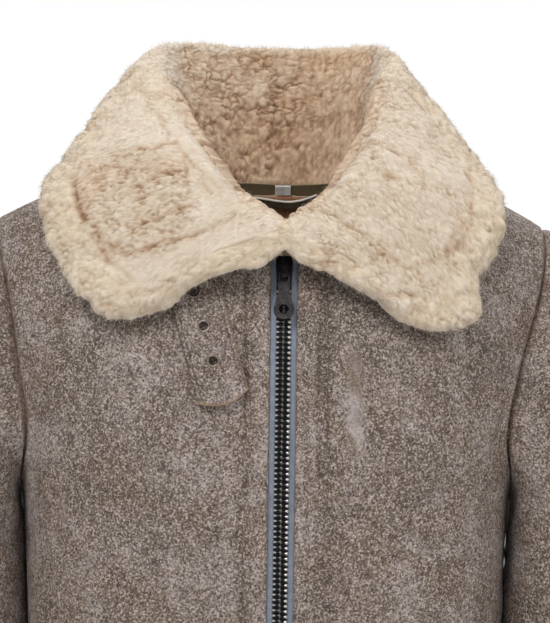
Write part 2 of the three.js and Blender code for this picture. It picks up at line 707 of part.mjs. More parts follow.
function sliderBody() {
  const half = SLIDER_HALF_LENGTH;
  const outline = [
    [-4.2, -half],
    [4.2, -half],
    [5.4, -half + 3],
    [6.4, 4],
    [6.4, half - 2],
    [4.6, half],
    [-4.6, half],
    [-6.4, half - 2],
    [-6.4, 4],
    [-5.4, -half + 3],
  ];
  const bridge = plate(
    [
      [-2.4, -6],
      [2.4, -6],
      [2.4, 9],
      [-2.4, 9],
    ],
    PLATE_TOP - 0.5,
    6.4,
  );
  const eye = block(-4, 4, BAR.y - BAR.radius - 0.25, 5, PLATE_TOP + 0.1, BAR.z + BAR.radius + 0.25);
  return plate(outline, chainBack, PLATE_TOP).add(bridge).subtract(eye);
}

function pullTab() {
  const low = BAR.z - 1;
  const high = BAR.z + 1;
  let tab = plate(
    [
      [-PULL.half, PULL.step - 1],
      [PULL.half, PULL.step - 1],
      [PULL.half, BAR.y],
      [-PULL.half, BAR.y],
    ],
    low,
    high,
  );
  tab = tab.subtract(block(-PULL.inner, PULL.inner, PULL.shoulder, 5, low - 1, high + 1));
  const bar = new THREE.CylinderGeometry(BAR.radius, BAR.radius, PULL.half * 2, 16).rotateZ(Math.PI / 2);
  tab = tab.add(solid(bar.translate(0, BAR.y, BAR.z)));
  tab = tab.add(
    plate(
      [
        [-PULL.half, PULL.step],
        [-7.5, PULL.roundY + 2.6],
        [7.5, PULL.roundY + 2.6],
        [PULL.half, PULL.step],
      ],
      low,
      high + 0.6,
    ),
  );
  tab = tab.add(disc(PULL.roundR, PULL.roundY, low, high + 0.6));
  return tab.subtract(disc(PULL.holeR, PULL.roundY, low - 1, high + 2));
}

// The throat strap lies on the right front. Its own axes: along, downwards, and across, to the left.
const STRAP_ORIGIN = [-52.9, -168.1];
const STRAP_ALONG = [0.282, -0.959];
const STRAP_TOP = -104;
const STRAP_END = 34.5;
function strapPoint(along, across, out) {
  const x = STRAP_ORIGIN[0] + STRAP_ALONG[0] * along - STRAP_ALONG[1] * across;
  const z = STRAP_ORIGIN[1] + STRAP_ALONG[1] * along + STRAP_ALONG[0] * across;
  const step = 2;
  const y = trunkY(x, z, -1);
  const acrossX = [2 * step, trunkY(x + step, z, -1) - trunkY(x - step, z, -1), 0];
  const upZ = [0, trunkY(x, z + step, -1) - trunkY(x, z - step, -1), 2 * step];
  const normal = unit(cross(acrossX, upZ));
  const lift = 4.5 * smooth((along + 8) / 42);
  return add([x, y, z], normal, out + lift);
}

function strapBody() {
  const cloth = new Cloth("throat_strap");
  const rows = [];
  const shares = [-1, -0.72, -0.36, 0, 0.36, 0.72, 1];
  const steps = [0, 0.1, 0.2, 0.3, 0.4, 0.48, 0.56, 0.63, 0.7, 0.76, 0.82, 0.87, 0.92, 0.96, 1];
  const under = new Map();
  for (const t of steps) {
    const row = [];
    for (const across of shares) {
      const end = STRAP_END - 7 * across * across;
      const along = STRAP_TOP + (end - STRAP_TOP) * t;
      const top = strapPoint(along, STRAP_HALF * across, SEAM_GAP + STRAP_THICK);
      under.set(keyOf(top), strapPoint(along, STRAP_HALF * across, SEAM_GAP));
      row.push(top);
    }
    rows.push(row);
  }
  cloth.grid(rows, true);
  const inner = cloth.points.map((p) => under.get(keyOf(p)));
  return closedBody("throat_strap", cloth, cloth.points, inner, "leather");
}

function eyeletFrame(i) {
  const at = strapPoint(-EYELET_STEP * i, 0, 0);
  const out = unit(sub(strapPoint(-EYELET_STEP * i, 0, 5), at));
  const down = unit(sub(strapPoint(-EYELET_STEP * i + 3, 0, 0), strapPoint(-EYELET_STEP * i - 3, 0, 0)));
  const up = unit(sub(scale(down, -1), scale(out, -dot(down, out))));
  const right = cross(up, out);
  const frame = new THREE.Matrix4().makeBasis(
    new THREE.Vector3(...right),
    new THREE.Vector3(...up),
    new THREE.Vector3(...out),
  );
  return frame.setPosition(...at);
}

function eyelet(i) {
  const low = SEAM_GAP + 0.1;
  const high = SEAM_GAP + STRAP_THICK + 0.5;
  const ring = disc(EYELET_OUTER, 0, low, high, 24).subtract(disc(EYELET_INNER, 0, low - 1, high + 1, 24));
  return fromSolid(`eyelet_${i + 1}`, ring, eyeletFrame(i), "eyelet");
}

// Pieces on the inside of the back, below the neck seam.
function backInside(x, z, depth) {
  const step = 2;
  const across = [2 * step, trunkY(x + step, z, 1) - trunkY(x - step, z, 1), 0];
  const upward = [0, trunkY(x, z + step, 1) - trunkY(x, z - step, 1), 2 * step];
  const out = unit(cross(upward, across));
  return add([x, trunkY(x, z, 1), z], out, -depth);
}

function insideBack({ name, x0, x1, topAt, bottomAt, depth0, depth1, slot, steps }) {
  const loops = [];
  for (let i = 0; i <= steps; i += 1) {
    const t = i / steps;
    const x = x0 + (x1 - x0) * t;
    const heights = [0, 0.33, 0.67, 1].map((k) => topAt(t) + (bottomAt(t) - topAt(t)) * k);
    const far = heights.map((z) => backInside(x, z, depth0));
    const near = heights.map((z) => backInside(x, z, depth1));
    loops.push([...near, ...far.reverse()]);
  }
  return sweep(name, loops, slot);
}

const group = new THREE.Group();
group.add(
  wallBody("front_right", fronts[-1], "leather"),
  wallBody("front_left", fronts[1], "leather"),
  wallBody("back", back, "leather"),
  wallBody("sleeve_right", sleeves[-1], "leather"),
  wallBody("sleeve_left", sleeves[1], "leather"),
  collarBody(),
  fromSolid("zip_slider", sliderBody(), toChest, "metal"),
  fromSolid("zip_pull", pullTab(), toChest, "metal"),
);

// The zip's strips down the front: their x values, how far out they lie and their ends.
const TAPE_BACK = tapeFront - TAPE_THICK;
const CHAIN_FRONT = chainBack + CHAIN_THICK;
const CHAIN_TOP_Z = sliderFoot - 0.6;
const BOX_HALF = CHAIN_HALF + 1;
const STRIPS = named(
  "name x0 x1 out0 out1 top bottom slot",
  [
    ["zip_tape_right", -tapeOuter, -0.4, TAPE_BACK, tapeFront, TAPE_TOP_Z, HEM_Z + 1, "tape"],
    ["zip_tape_left", 0.4, tapeOuter, TAPE_BACK, tapeFront, TAPE_TOP_Z, HEM_Z + 1, "tape"],
    ["zip_chain", -CHAIN_HALF, CHAIN_HALF, chainBack, CHAIN_FRONT, CHAIN_TOP_Z, BOX_TOP_Z + 0.4, "metal"],
    ["zip_box", -BOX_HALF, BOX_HALF, chainBack, chainBack + 4.2, BOX_TOP_Z, HEM_Z + 4, "metal"],
  ],
);
for (const strip of STRIPS) group.add(frontStrip(strip));

let strap = solid(strapBody().geometry);
for (let i = 0; i < 3; i += 1) {
  const hole = disc(EYELET_OUTER + SEAM_GAP, 0, -4, 12, 24);
  strap = strap.subtract(hole.transform(eyeletFrame(i).elements));
  group.add(eyelet(i));
}
group.add(fromSolid("throat_strap", strap, null, "leather"));

// The parts at the nape hang below the neck seam, each with its own top and bottom line.
const straight = (z) => () => z;
const wave = (a, b, sag) => (t) => a + (b - a) * t - sag * Math.sin(Math.PI * t ** 1.3);
const LOOP_TOP = wave(-31.5, -28.5, 5);
const LOOP_FOOT = wave(-36.5, -33.5, 5);
const NAPE = named(
  "name x0 x1 topAt bottomAt depth0 depth1 slot steps",
  [
    ["neck_patch", -38, 38, straight(-31), straight(-76), WALL + 1.2, WALL + 2.6, "patch", 10],
    ["hanger_loop", -26, 27, LOOP_TOP, LOOP_FOOT, WALL + 2.9, WALL + 4.6, "loop", 10],
    ["size_tab", -8.6, 5.6, straight(-22.4), straight(-30.6), WALL + 0.3, WALL + 1.1, "label", 4],
  ],
);
for (const piece of NAPE) group.add(insideBack(piece));

export default group;
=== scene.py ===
"""A sheepskin flying jacket, dressed over its solids.

The same named sizes and tables as the part's source give every surface, in millimetres here and in
metres in Blender. Leather and wool are fine grids of those surfaces. The zip's teeth and the loose
fibres of the wool are grown by Geometry Nodes.
"""

import math

import bmesh
import bpy
import numpy as np
from mathutils import Matrix, Vector, kdtree, noise


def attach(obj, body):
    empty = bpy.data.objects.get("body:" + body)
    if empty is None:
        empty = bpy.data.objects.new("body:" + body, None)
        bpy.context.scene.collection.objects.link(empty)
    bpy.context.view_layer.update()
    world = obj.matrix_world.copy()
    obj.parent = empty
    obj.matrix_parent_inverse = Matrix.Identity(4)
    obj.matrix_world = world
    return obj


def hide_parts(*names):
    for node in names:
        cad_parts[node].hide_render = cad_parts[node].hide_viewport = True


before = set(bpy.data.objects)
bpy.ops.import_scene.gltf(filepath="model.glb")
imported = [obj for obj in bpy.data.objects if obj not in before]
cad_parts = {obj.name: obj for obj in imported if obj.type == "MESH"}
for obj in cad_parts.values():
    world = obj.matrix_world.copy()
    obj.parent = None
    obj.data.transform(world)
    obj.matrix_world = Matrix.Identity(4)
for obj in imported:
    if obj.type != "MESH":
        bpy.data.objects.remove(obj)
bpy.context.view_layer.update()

MM = 0.001

# Sizes shared with the part
HEM_Z = -640
UNDERARM_Z = -270
HALF_CHEST = 195
NECK_HALF = 88
NECK_FRONT = 104
NECK_BACK = 68
WALL = 6
SEAM_GAP = 0.3
ZIP_HALF = 10.3
RIGHT_EXTRA = 11
LEFT_EXTRA = -13
CENTRE_BAND = 12
COLLAR_HALF_THICK = 6.5
COLLAR_LIFT = 12.5
BACK_STATIONS = 8
FRONT_STATIONS = 12
BACK_SHARE = 8 / 19
TAPE_SINK = 2
TAPE_THICK = 1.2
TAPE_TOP_Z = -86.6
CHAIN_THICK = 2.6
SLIDER_Z = -99.5
SLIDER_HALF_LENGTH = 13
BOX_TOP_Z = -618
STRAP_HALF = 20.3
STRAP_THICK = 3
EYELET_STEP = 27.3
EYELET_OUTER = 4.2
EYELET_INNER = 3.2
NECK_AXIS_Y = -18

# Sizes of the finer pieces, in millimetres, and the rows and columns of their grids
TOOTH_PITCH = 4.0
HIDE = 2.0
LOW_ROWS = 92
COLLAR_COLUMNS = 720
COLLAR_STAND_ROWS = 34
COLLAR_LEAF_ROWS = 80
EDGE_ROWS = 9
UNDER_ROWS = 14
FIBRES_PER_SQUARE_METRE = 260000.0

# The camera's place and sensor in millimetres, and the photograph that it matches
CAMERA_X = -6.7
CAMERA_BACK = 2600.0
CAMERA_Z = -129.2
CAMERA_ROLL = math.radians(0.8)
SENSOR_WIDTH = 36
PHOTO_PIXELS_HIGH = 623
PIXEL_SIZE = 0.8

# The floor's height in metres
FLOOR_Z = -0.7


def named(names, rows):
    """A table as one array for each named column."""
    return dict(zip(names.split(), np.array(rows, float).T))


TRUNK = named(
    "level wide front back square",
    [
        (0, 0.95, 118, 100, 2.5),
        (0.25, 0.95, 121, 100, 2.5),
        (0.5, 0.957, 127, 105, 2.45),
        (0.75, 0.975, 133, 114, 2.4),
        (1, 1, 137, 122, 2.35),
        (1.3, 1.1, 137, 126, 2.3),
        (1.6, 1.18, 136, 124, 2.3),
        (2, 1.22, 136, 122, 2.3),
    ],
)
RIDGE = named("x z", [(0, 18), (88, 0), (150, -26), (200, -49), (240, -73), (280, -106)])
ARMHOLE = named(
    "level frontRight frontLeft back",
    [
        (1, 0, 0, 0),
        (1.04, 14, 14, 14),
        (1.12, 25, 24.5, 25),
        (1.28, 27, 25, 31),
        (1.5, 28, 21.5, 32),
        (1.75, 26.5, 22, 29.5),
        (2, 26, 26, 26),
    ],
)
SLEEVE = named(
    "ring underX underZ overX overZ midY deep",
    [
        (0, 195, -270, 220, -64, 0, 78),
        (1, 196.2, -277, 238, -70, 0, 79),
        (2, 196, -286, 256, -81, 0, 80),
        (3, 193.6, -298, 276, -98, -1, 80),
        (4, 192.5, -314, 294, -122, -2, 79),
        (5, 191.4, -334, 308, -154, -3, 78),
        (6, 190.2, -358, 318, -194, -4, 76),
        (7, 189.2, -386, 325, -240, -5, 74),
        (8, 188.0, -416, 327, -288, -6, 72),
        (9, 186.8, -448, 325, -340, -8, 71),
        (10, 185.9, -484, 320, -396, -11, 69),
        (11, 185.2, -526, 313, -456, -15, 66),
        (12, 185.4, -572, 305, -520, -20, 63),
        (13, 187, -621, 298, -586, -25, 60),
        (14, 188, -669, 292, -650, -30, 58),
    ],
)
CAP_RINGS = 5
# Soft folds seen from the front: two ends, depth inwards and half width.
FOLDS = named(
    "x1 z1 x2 z2 depth wide",
    [
        (228, -190, 200, -236, 5, 9),
        (250, -240, 204, -300, 4, 12),
        (205, -330, 232, -292, 5, 9),
        (300, -300, 236, -352, 4, 12),
        (320, -395, 244, -410, 4, 10),
        (236, -455, 318, -440, 3.5, 11),
        (-228, -196, -203, -250, 4, 10),
        (-250, -250, -206, -310, 4, 12),
        (-302, -310, -240, -356, 4, 12),
        (-322, -400, -246, -416, 4, 10),
        (-238, -462, -318, -448, 3.5, 11),
        (29, -90, 29, -640, 1.6, 4.5),
        (-29, -90, -29, -640, 1.6, 4.5),
        (52, -140, 52, -300, -2.2, 9),
    ],
)
COLLAR = named(
    "at rollX rollY rollZ out up edgeX edgeY edgeZ leanX leanZ rollLean thick",
    [
        (0, 0, 90, 30, 10, 48, 0, 106, 88, 0, 0, 0, 1),
        (0.11, 39, 84, 31, 10, 48, 43, 102, 89, 0, 0, 0, 1),
        (0.21, 70, 67, 37, 12, 48, 80, 87, 90, -1, 0, -2, 1),
        (0.3, 86, 46, 49, 16, 44, 96.2, 64, 84, -5, 0, -4, 1),
        (0.37, 86, 28, 51, 24, 36, 114.5, 45, 60, -6.5, 0, -5, 1),
        (0.43, 81, 10, 39, 30, 32, 137.5, 25, 28, -4.5, 0, -3, 1),
        (0.5, 73, -9, 20, 32, 28, 161, 2, -5, -0.5, 0, 0, 1),
        (0.58, 64, -28, 3, 33, 25, 176, -24, -35, 0, 0, 0, 1),
        (0.66, 54, -46, -15, 34, 23, 178, -52, -63, 2, 0, 0, 1),
        (0.72, 45, -60, -28, 34, 21, 173, -76, -82, 2, 0, 0, 1),
        (0.77, 38, -71, -37, 34, 19, 159, -96, -104, 1, 0, 0, 0.98),
        (0.82, 29, -83, -45, 33, 17, 151, -110, -127, 10, -3, 0, 0.95),
        (0.86, 22, -92, -50, 32, 14, 130, -118, -138, 9, -2, 0, 0.92),
        (0.9, 15, -100, -54, 31, 10, 99, -125, -134, 7, -4, 0, 0.88),
        (0.945, 9, -107, -58, 29, 6, 70, -129, -113, 3, -3, 0, 0.83),
        (0.975, 4, -111, -60, 28, 3, 37, -132, -101, 0, -1, 0, 0.79),
        (0.988, 2.2, -112.5, -60.5, 27, 1.4, 19, -133, -98, 0, 0, 0, 0.77),
        (1, 0.6, -114, -61, 26, 0, 1.2, -134, -86, 0, 0, 0, 0.75),
    ],
)


# Small sums on arrays of points
def unit(v):
    return v / np.maximum(np.linalg.norm(v, axis=-1, keepdims=True), 1e-9)


def dot(a, b):
    return np.sum(a * b, axis=-1)


def smooth(v):
    v = np.clip(v, 0, 1)
    return v * v * (3 - 2 * v)


def read(table, key, at, column):
    """Reads one column of a table between its rows along a smooth curve."""
    k, v = table[key], table[column]
    at = np.clip(np.asarray(at, float), k[0], k[-1])
    i = np.clip(np.searchsorted(k, at, side="right") - 1, 0, len(k) - 2)
    low = np.maximum(np.arange(len(k)) - 1, 0)
    high = np.minimum(np.arange(len(k)) + 1, len(k) - 1)
    slope = (v[high] - v[low]) / (k[high] - k[low])
    span = k[i + 1] - k[i]
    u = (at - k[i]) / span
    return (
        (2 * u**3 - 3 * u**2 + 1) * v[i]
        + (u**3 - 2 * u**2 + u) * slope[i] * span
        + (3 * u**2 - 2 * u**3) * v[i + 1]
        + (u**3 - u**2) * slope[i + 1] * span
    )


def depth_of(level, facing):
    """How deep the trunk is from its middle to its front or back."""
    front, back = read(TRUNK, "level", level, "front"), read(TRUNK, "level", level, "back")
    return np.where(np.asarray(facing) < 0, front, back)


def trunk(turn, level, facing):
    """Points of the trunk's outside. Turn is 0 at the side and 90 in the middle."""
    turn, level, facing = np.broadcast_arrays(np.asarray(turn, float), np.asarray(level, float), facing)
    wide = HALF_CHEST * read(TRUNK, "level", level, "wide")
    n = read(TRUNK, "level", level, "square")
    c, s = np.abs(np.cos(np.radians(turn))), np.abs(np.sin(np.radians(turn)))
    reach = (c**n + s**n) ** (-1 / n)
    x = wide * c * reach
    rise = np.radians(np.clip(level - 1, 0, 1) * 90)
    low = HEM_Z + (UNDERARM_Z - HEM_Z) * level
    high = UNDERARM_Z + (read(RIDGE, "x", x, "z") - UNDERARM_Z) * np.sin(rise)
    y = facing * depth_of(level, facing) * s * reach * np.cos(rise)
    return np.stack([x, y, np.where(level < 1, low, high)], -1)


def place(x, y, facing):
    """The turn and level of the upper trunk's points over x and y."""
    level = np.full(np.shape(x), 1.7)
    for _ in range(14):
        wide = HALF_CHEST * read(TRUNK, "level", level, "wide")
        n = read(TRUNK, "level", level, "square")
        q = x / wide
        s = (1 - q**n) ** (1 / n)
        level = 1 + np.degrees(np.arccos(np.clip(np.abs(y) / (depth_of(level, facing) * s), 0, 1))) / 90
    return np.degrees(np.arctan2(s, q)), level


def hung(side, p):
    """The two halves have their own widths, as the jacket hangs."""
    u = np.clip((np.abs(p[..., 0]) - CENTRE_BAND) / (HALF_CHEST - CENTRE_BAND), 0, 1.5)
    extra = np.where(np.asarray(side) < 0, RIGHT_EXTRA, LEFT_EXTRA)
    x = side * (p[..., 0] + extra * np.sin(np.radians(60 * u)) / np.sin(np.radians(60)))
    return np.stack([x, p[..., 1], p[..., 2]], -1)


def plain_x(x, side):
    """The x on the nominal half that hangs at this x."""
    plain = np.abs(np.asarray(x, float))
    target = plain.copy()
    for _ in range(10):
        point = np.stack([plain, plain, plain], -1)
        plain = plain + target - np.abs(hung(side, point)[..., 0])
    return plain


def trunk_y(x, z, facing):
    """The y of the trunk's outside at an x and z of the finished jacket."""
    x, z = np.broadcast_arrays(np.asarray(x, float), np.asarray(z, float))
    plain = plain_x(x, np.where(x < 0, -1, 1))
    top = read(RIDGE, "x", plain, "z")
    share = np.clip((z - UNDERARM_Z) / (top - UNDERARM_Z), 0, 1)
    high = 1 + np.degrees(np.arcsin(share)) / 90
    level = np.where(z < UNDERARM_Z, (z - HEM_Z) / (UNDERARM_Z - HEM_Z), high)
    n = read(TRUNK, "level", level, "square")
    q = plain / (HALF_CHEST * read(TRUNK, "level", level, "wide"))
    rise = np.radians(np.clip(level - 1, 0, 1) * 90)
    return facing * depth_of(level, facing) * (1 - q**n) ** (1 / n) * np.cos(rise)


def fold_depth(p):
    """How deep the soft folds press in at points that face the front."""
    total = np.zeros(p.shape[:-1])
    for x1, z1, x2, z2, deep, wide in zip(*FOLDS.values()):
        ax, az = x2 - x1, z2 - z1
        fx, fz = p[..., 0] - x1, p[..., 2] - z1
        t = np.clip((fx * ax + fz * az) / (ax**2 + az**2), 0, 1)
        away = np.hypot(fx - ax * t, fz - az * t)
        total = total + deep * np.exp(-((away / wide) ** 2))
    return total


CORNER_TAU = math.degrees(math.asin(ZIP_HALF / NECK_HALF))
MIDDLE_TAU = math.degrees(math.asin(0.7 / NECK_HALF))


def neck_stations(j):
    """Turn, level and facing of the neckline's stations, from the middle of the back (0) to the front."""
    j = np.asarray(j, float)
    facing = np.where(j <= BACK_STATIONS, 1, -1)
    past = j - BACK_STATIONS
    tau = np.where(past <= 0, j / BACK_STATIONS * 90, 90 - past / FRONT_STATIONS * (90 - CORNER_TAU))
    beyond = CORNER_TAU + (MIDDLE_TAU - CORNER_TAU) * (past - FRONT_STATIONS)
    tau = np.where(past > FRONT_STATIONS, beyond, tau)
    deep = np.where(facing < 0, NECK_FRONT, NECK_BACK)
    x = NECK_HALF * np.sin(np.radians(tau))
    y = facing * deep * np.cos(np.radians(tau))
    turn, level = place(x, y, facing)
    return turn, np.where(np.abs(past) < 1e-9, 2, level), facing


def runs(*stops):
    """Joins evenly spaced runs of (from, to, steps)."""
    parts = [np.linspace(a, b, n, endpoint=False) for a, b, n in stops]
    return np.concatenate([*parts, [stops[-1][1]]])


def panel_rows(facing):
    """Levels and inner turns of a panel's rows, from the hem to the shoulder."""
    if facing < 0:
        j = runs((BACK_STATIONS + FRONT_STATIONS, BACK_STATIONS, 50))
    else:
        j = runs((0, BACK_STATIONS, 42))
    turn, level, _ = neck_stations(j)
    if facing < 0:
        turn[-1], level[-1] = place(np.array([NECK_HALF]), np.array([0.0]), -1)[0][0], 2
    steps_to_neck = 8 if facing < 0 else 30
    low = runs((0, 1, LOW_ROWS), (1, 1.12, 24), (1.12, 1.34, 18), (1.34, level[0], steps_to_neck))[:-1]
    inner = np.full(low.shape, 90.0)
    if facing < 0:
        wide = HALF_CHEST * read(TRUNK, "level", low, "wide")
        n = read(TRUNK, "level", low, "square")
        q = ZIP_HALF / wide
        inner = np.degrees(np.arctan2((1 - q**n) ** (1 / n), q))
    return np.concatenate([low, level]), np.concatenate([inner, turn]), len(low)


PANEL_COLUMNS = runs((0, 0.06, 8), (0.06, 0.94, 46), (0.94, 1, 6))


def panel(facing, side):
    """Half a front or back as a grid of points, rows upwards and columns from the side to the middle."""
    level, inner, _ = panel_rows(facing)
    edge = "frontRight" if side < 0 else "frontLeft"
    start = np.where(level > 1, read(ARMHOLE, "level", level, edge if facing < 0 else "back"), 0)
    turn = start[:, None] + (inner - start)[:, None] * PANEL_COLUMNS[None, :]
    p = hung(side, trunk(turn, level[:, None], facing))
    if facing < 0:
        fade = np.clip(PANEL_COLUMNS / 0.09, 0, 1)[None, :] * np.clip((2 - level) / 0.06, 0, 1)[:, None]
        p[..., 1] += fold_depth(p) * fade
    return p


def grid_normals(p, around=False):
    """Directions square to a grid of points, along columns crossed with rows."""
    if around:
        along = np.roll(p, -1, 1) - np.roll(p, 1, 1)
    else:
        along = np.gradient(p, axis=1)
    up = np.gradient(p, axis=0)
    return unit(np.cross(along, up))


def arc(p, axis):
    """Length along a grid from its first row or column."""
    steps = np.linalg.norm(np.diff(p, axis=axis), axis=-1)
    first = np.zeros_like(np.take(steps, [0], axis))
    return np.concatenate([first, np.cumsum(steps, axis)], axis)


# Noise on arrays of points
def ripple(p, size, seed=0.0):
    """Smooth noise from -1 to 1 with features of about this size in millimetres."""
    flat = p.reshape(-1, 3) / size + seed
    values = np.array([noise.noise(q) for q in flat.tolist()])
    return values.reshape(p.shape[:-1])


# noise_vector draws its offsets from this seed.
noise.seed_set(7)


def curls(p, size, seed=0.0, twist=0.6, flat=0.5):
    """Rounded curls of about this size: their height from 0 to 1, some of them grown together."""
    heights = []
    for q in (p.reshape(-1, 3) / size + seed).tolist():
        v = Vector(q)
        v += noise.noise_vector(v * 0.9) * twist + noise.noise_vector(v * 2.7) * twist * 0.35
        near = noise.voronoi(v)[0]
        open_crease = 0.55 + 0.9 * noise.noise(v * 0.55)
        gap = min(1.0, (near[1] - near[0]) / 0.42)
        crease = (1 - gap) ** 2 * min(1.0, max(0.15, open_crease))
        heights.append((1 - crease) * (1 - flat * near[0] ** 2))
    return np.array(heights).reshape(p.shape[:-1])


# Meshes
def give(obj_or_mesh, name, values):
    """Stores one number, or one vector, a point."""
    mesh = getattr(obj_or_mesh, "data", obj_or_mesh)
    values = np.asarray(values, float)
    vector = values.ndim > 1
    made = mesh.attributes.new(name, "FLOAT_VECTOR" if vector else "FLOAT", "POINT")
    made.data.foreach_set("vector" if vector else "value", values.ravel())


def linked(name, data):
    """A new object in the scene."""
    obj = bpy.data.objects.new(name, data)
    bpy.context.collection.objects.link(obj)
    return obj


def make(name, points, faces, indices=None, materials=()):
    """A smooth mesh object from points in millimetres."""
    mesh = bpy.data.meshes.new(name)
    mesh.from_pydata((np.asarray(points, float) * MM).tolist(), [], faces)
    if indices is not None:
        mesh.polygons.foreach_set("material_index", indices)
    mesh.polygons.foreach_set("use_smooth", [True] * len(mesh.polygons))
    mesh.update()
    for material in materials:
        mesh.materials.append(material)
    return linked(name, mesh)


def quads(rows, columns, start=0, around=False, flip=False):
    """Faces of a grid of points stored row by row."""
    r = np.arange(rows - 1)[:, None]
    c = np.arange(columns if around else columns - 1)[None, :]
    d = (c + 1) % columns
    a, b = start + r * columns + c, start + r * columns + d
    e, f = start + (r + 1) * columns + d, start + (r + 1) * columns + c
    faces = np.stack([a, b, e, f], -1).reshape(-1, 4)
    return faces[:, ::-1] if flip else faces


def strip(first, second, flip=False):
    """Faces between two equal lists of point numbers."""
    first, second = np.asarray(first), np.asarray(second)
    faces = np.stack([first[:-1], first[1:], second[1:], second[:-1]], -1)
    return faces[:, ::-1] if flip else faces


def shell(name, outer, inner, faces, materials):
    """A closed wall: an outer skin, the same faces inside, and rims along its borders."""
    count = len(outer)
    edges = np.stack([faces, np.roll(faces, -1, 1)], -1).reshape(-1, 2)
    codes = np.sort(edges, 1) @ [count, 1]
    _, where, uses = np.unique(codes, return_index=True, return_counts=True)
    border = edges[where[uses == 1]]
    rim = np.stack([border[:, 1], border[:, 0], border[:, 0] + count, border[:, 1] + count], -1)
    every = np.concatenate([faces, faces[:, ::-1] + count, rim])
    indices = np.repeat([0, 1, 2], [len(faces), len(faces), len(rim)])
    return make(name, np.concatenate([outer, inner]), every.tolist(), indices, materials)


def wall(name, outer, inner, materials, around=False, flip=False):
    """A closed wall between an outer and an inner grid."""
    rows, columns = outer.shape[:2]
    faces = quads(rows, columns, 0, around, flip)
    return shell(name, outer.reshape(-1, 3), inner.reshape(-1, 3), faces, materials)


# Node trees
class Wire:
    """One socket's value, with arithmetic that adds Math nodes."""

    def __init__(self, tree, socket):
        self.tree = tree
        self.socket = socket

    def maths(self, operation, *values):
        made = self.tree.node("ShaderNodeMath", {"operation": operation}, dict(enumerate(values)))
        return made[0]

    def __add__(self, other):
        return self.maths("ADD", self, other)

    def __radd__(self, other):
        return self.maths("ADD", other, self)

    def __sub__(self, other):
        return self.maths("SUBTRACT", self, other)

    def __rsub__(self, other):
        return self.maths("SUBTRACT", other, self)

    def __mul__(self, other):
        return self.maths("MULTIPLY", self, other)

    def most(self, other):
        return self.maths("MAXIMUM", self, other)

    def ramp(self, low, high, to_low=0.0, to_high=1.0):
        """Runs smoothly from one value at low to another at high."""
        values = {"Value": self, "From Min": low, "From Max": high, "To Min": to_low, "To Max": to_high}
        return self.tree.node("ShaderNodeMapRange", {"interpolation_type": "SMOOTHSTEP"}, values)[0]


class Made:
    """A node whose outputs are read by name or number."""

    def __init__(self, tree, node):
        self.tree = tree
        self.node = node

    def __getitem__(self, key):
        return Wire(self.tree, self.node.outputs[key])


class Tree:
    """A node tree that is built by one method."""

    def __init__(self, tree):
        self.tree = tree

    def node(self, kind, settings=None, values=None):
        """Adds a node: its settings first, then the values or links of its sockets."""
        node = self.tree.nodes.new(kind)
        for key, value in (settings or {}).items():
            if key == "stops":
                elements = node.color_ramp.elements
                while len(elements) < len(value):
                    elements.new(0.5)
                for element, (position, colour) in zip(elements, value):
                    element.position = position
                    element.color = (*colour, 1)
            else:
                setattr(node, key, value)
        for key, value in (values or {}).items():
            socket = node.inputs[key]
            if isinstance(value, Wire):
                self.tree.links.new(value.socket, socket)
            elif isinstance(value, tuple) and len(value) == 3 and socket.type == "RGBA":
                socket.default_value = (*value, 1)
            else:
                socket.default_value = value
        return Made(self, node)


def linear(*shown):
    """Red, green and blue as a screen shows them, from 0 to 255, as linear light."""
    shares = [v / 255 for v in shown]
    return tuple(v / 12.92 if v <= 0.04045 else ((v + 0.055) / 1.055) ** 2.4 for v in shares)


class Finish(Tree):
    """A procedural material."""

    def __init__(self, name):
        self.material = bpy.data.materials.new(name)
        self.material.use_nodes = True
        super().__init__(self.material.node_tree)
        self.tree.nodes.clear()
        self.place = self.node("ShaderNodeTexCoord")["Object"]

    def attribute(self, name):
        return self.node("ShaderNodeAttribute", {"attribute_name": name})["Fac"]

    def stretched(self, across, deep, up, turn=0.0):
        values = {"Scale": (across, deep, up), "Rotation": (0, turn, 0)}
        return self.node("ShaderNodeMapping", None, {"Vector": self.place, **values})[0]

    def noise(self, scale, detail=3.0, rough=0.5, distortion=0.0, place=None):
        values = {"Vector": place or self.place, "Scale": scale, "Detail": detail, "Roughness": rough}
        return self.node("ShaderNodeTexNoise", None, {**values, "Distortion": distortion})[0]

    def cells(self, scale, output="Distance"):
        """Each point's distance from the middle of its cell, or with Color one random value a cell."""
        values = {"Vector": self.place, "Scale": scale, "Randomness": 1.0}
        return self.node("ShaderNodeTexVoronoi", {"feature": "F1"}, values)[output]

    def wave(self, along, pitch):
        """A sine from -1 to 1 along a length, with its pitch in millimetres."""
        return along.maths("SINE", along * (2 * math.pi / (pitch * MM)))

    def parted(self):
        """The place's X, Y and Z."""
        return self.node("ShaderNodeSeparateXYZ", None, {0: self.place})

    def mix(self, factor, first, second):
        values = {0: factor, 6: first, 7: second}
        return self.node("ShaderNodeMix", {"data_type": "RGBA"}, values)[2]

    def steps(self, factor, stops):
        return self.node("ShaderNodeValToRGB", {"stops": stops}, {0: factor})[0]

    def bump(self, height, distance, strength=1.0, under=None):
        values = {"Height": height, "Distance": distance * MM, "Strength": strength}
        if under is not None:
            values["Normal"] = under
        return self.node("ShaderNodeBump", None, values)[0]

    def surface(self, **values):
        """The finish itself, from the shader's sockets with _ for each space in their names."""
        sockets = {key.replace("_", " "): value for key, value in values.items()}
        shader = self.node("ShaderNodeBsdfPrincipled", None, sockets)
        self.node("ShaderNodeOutputMaterial", None, {"Surface": shader[0]})
        return self.material


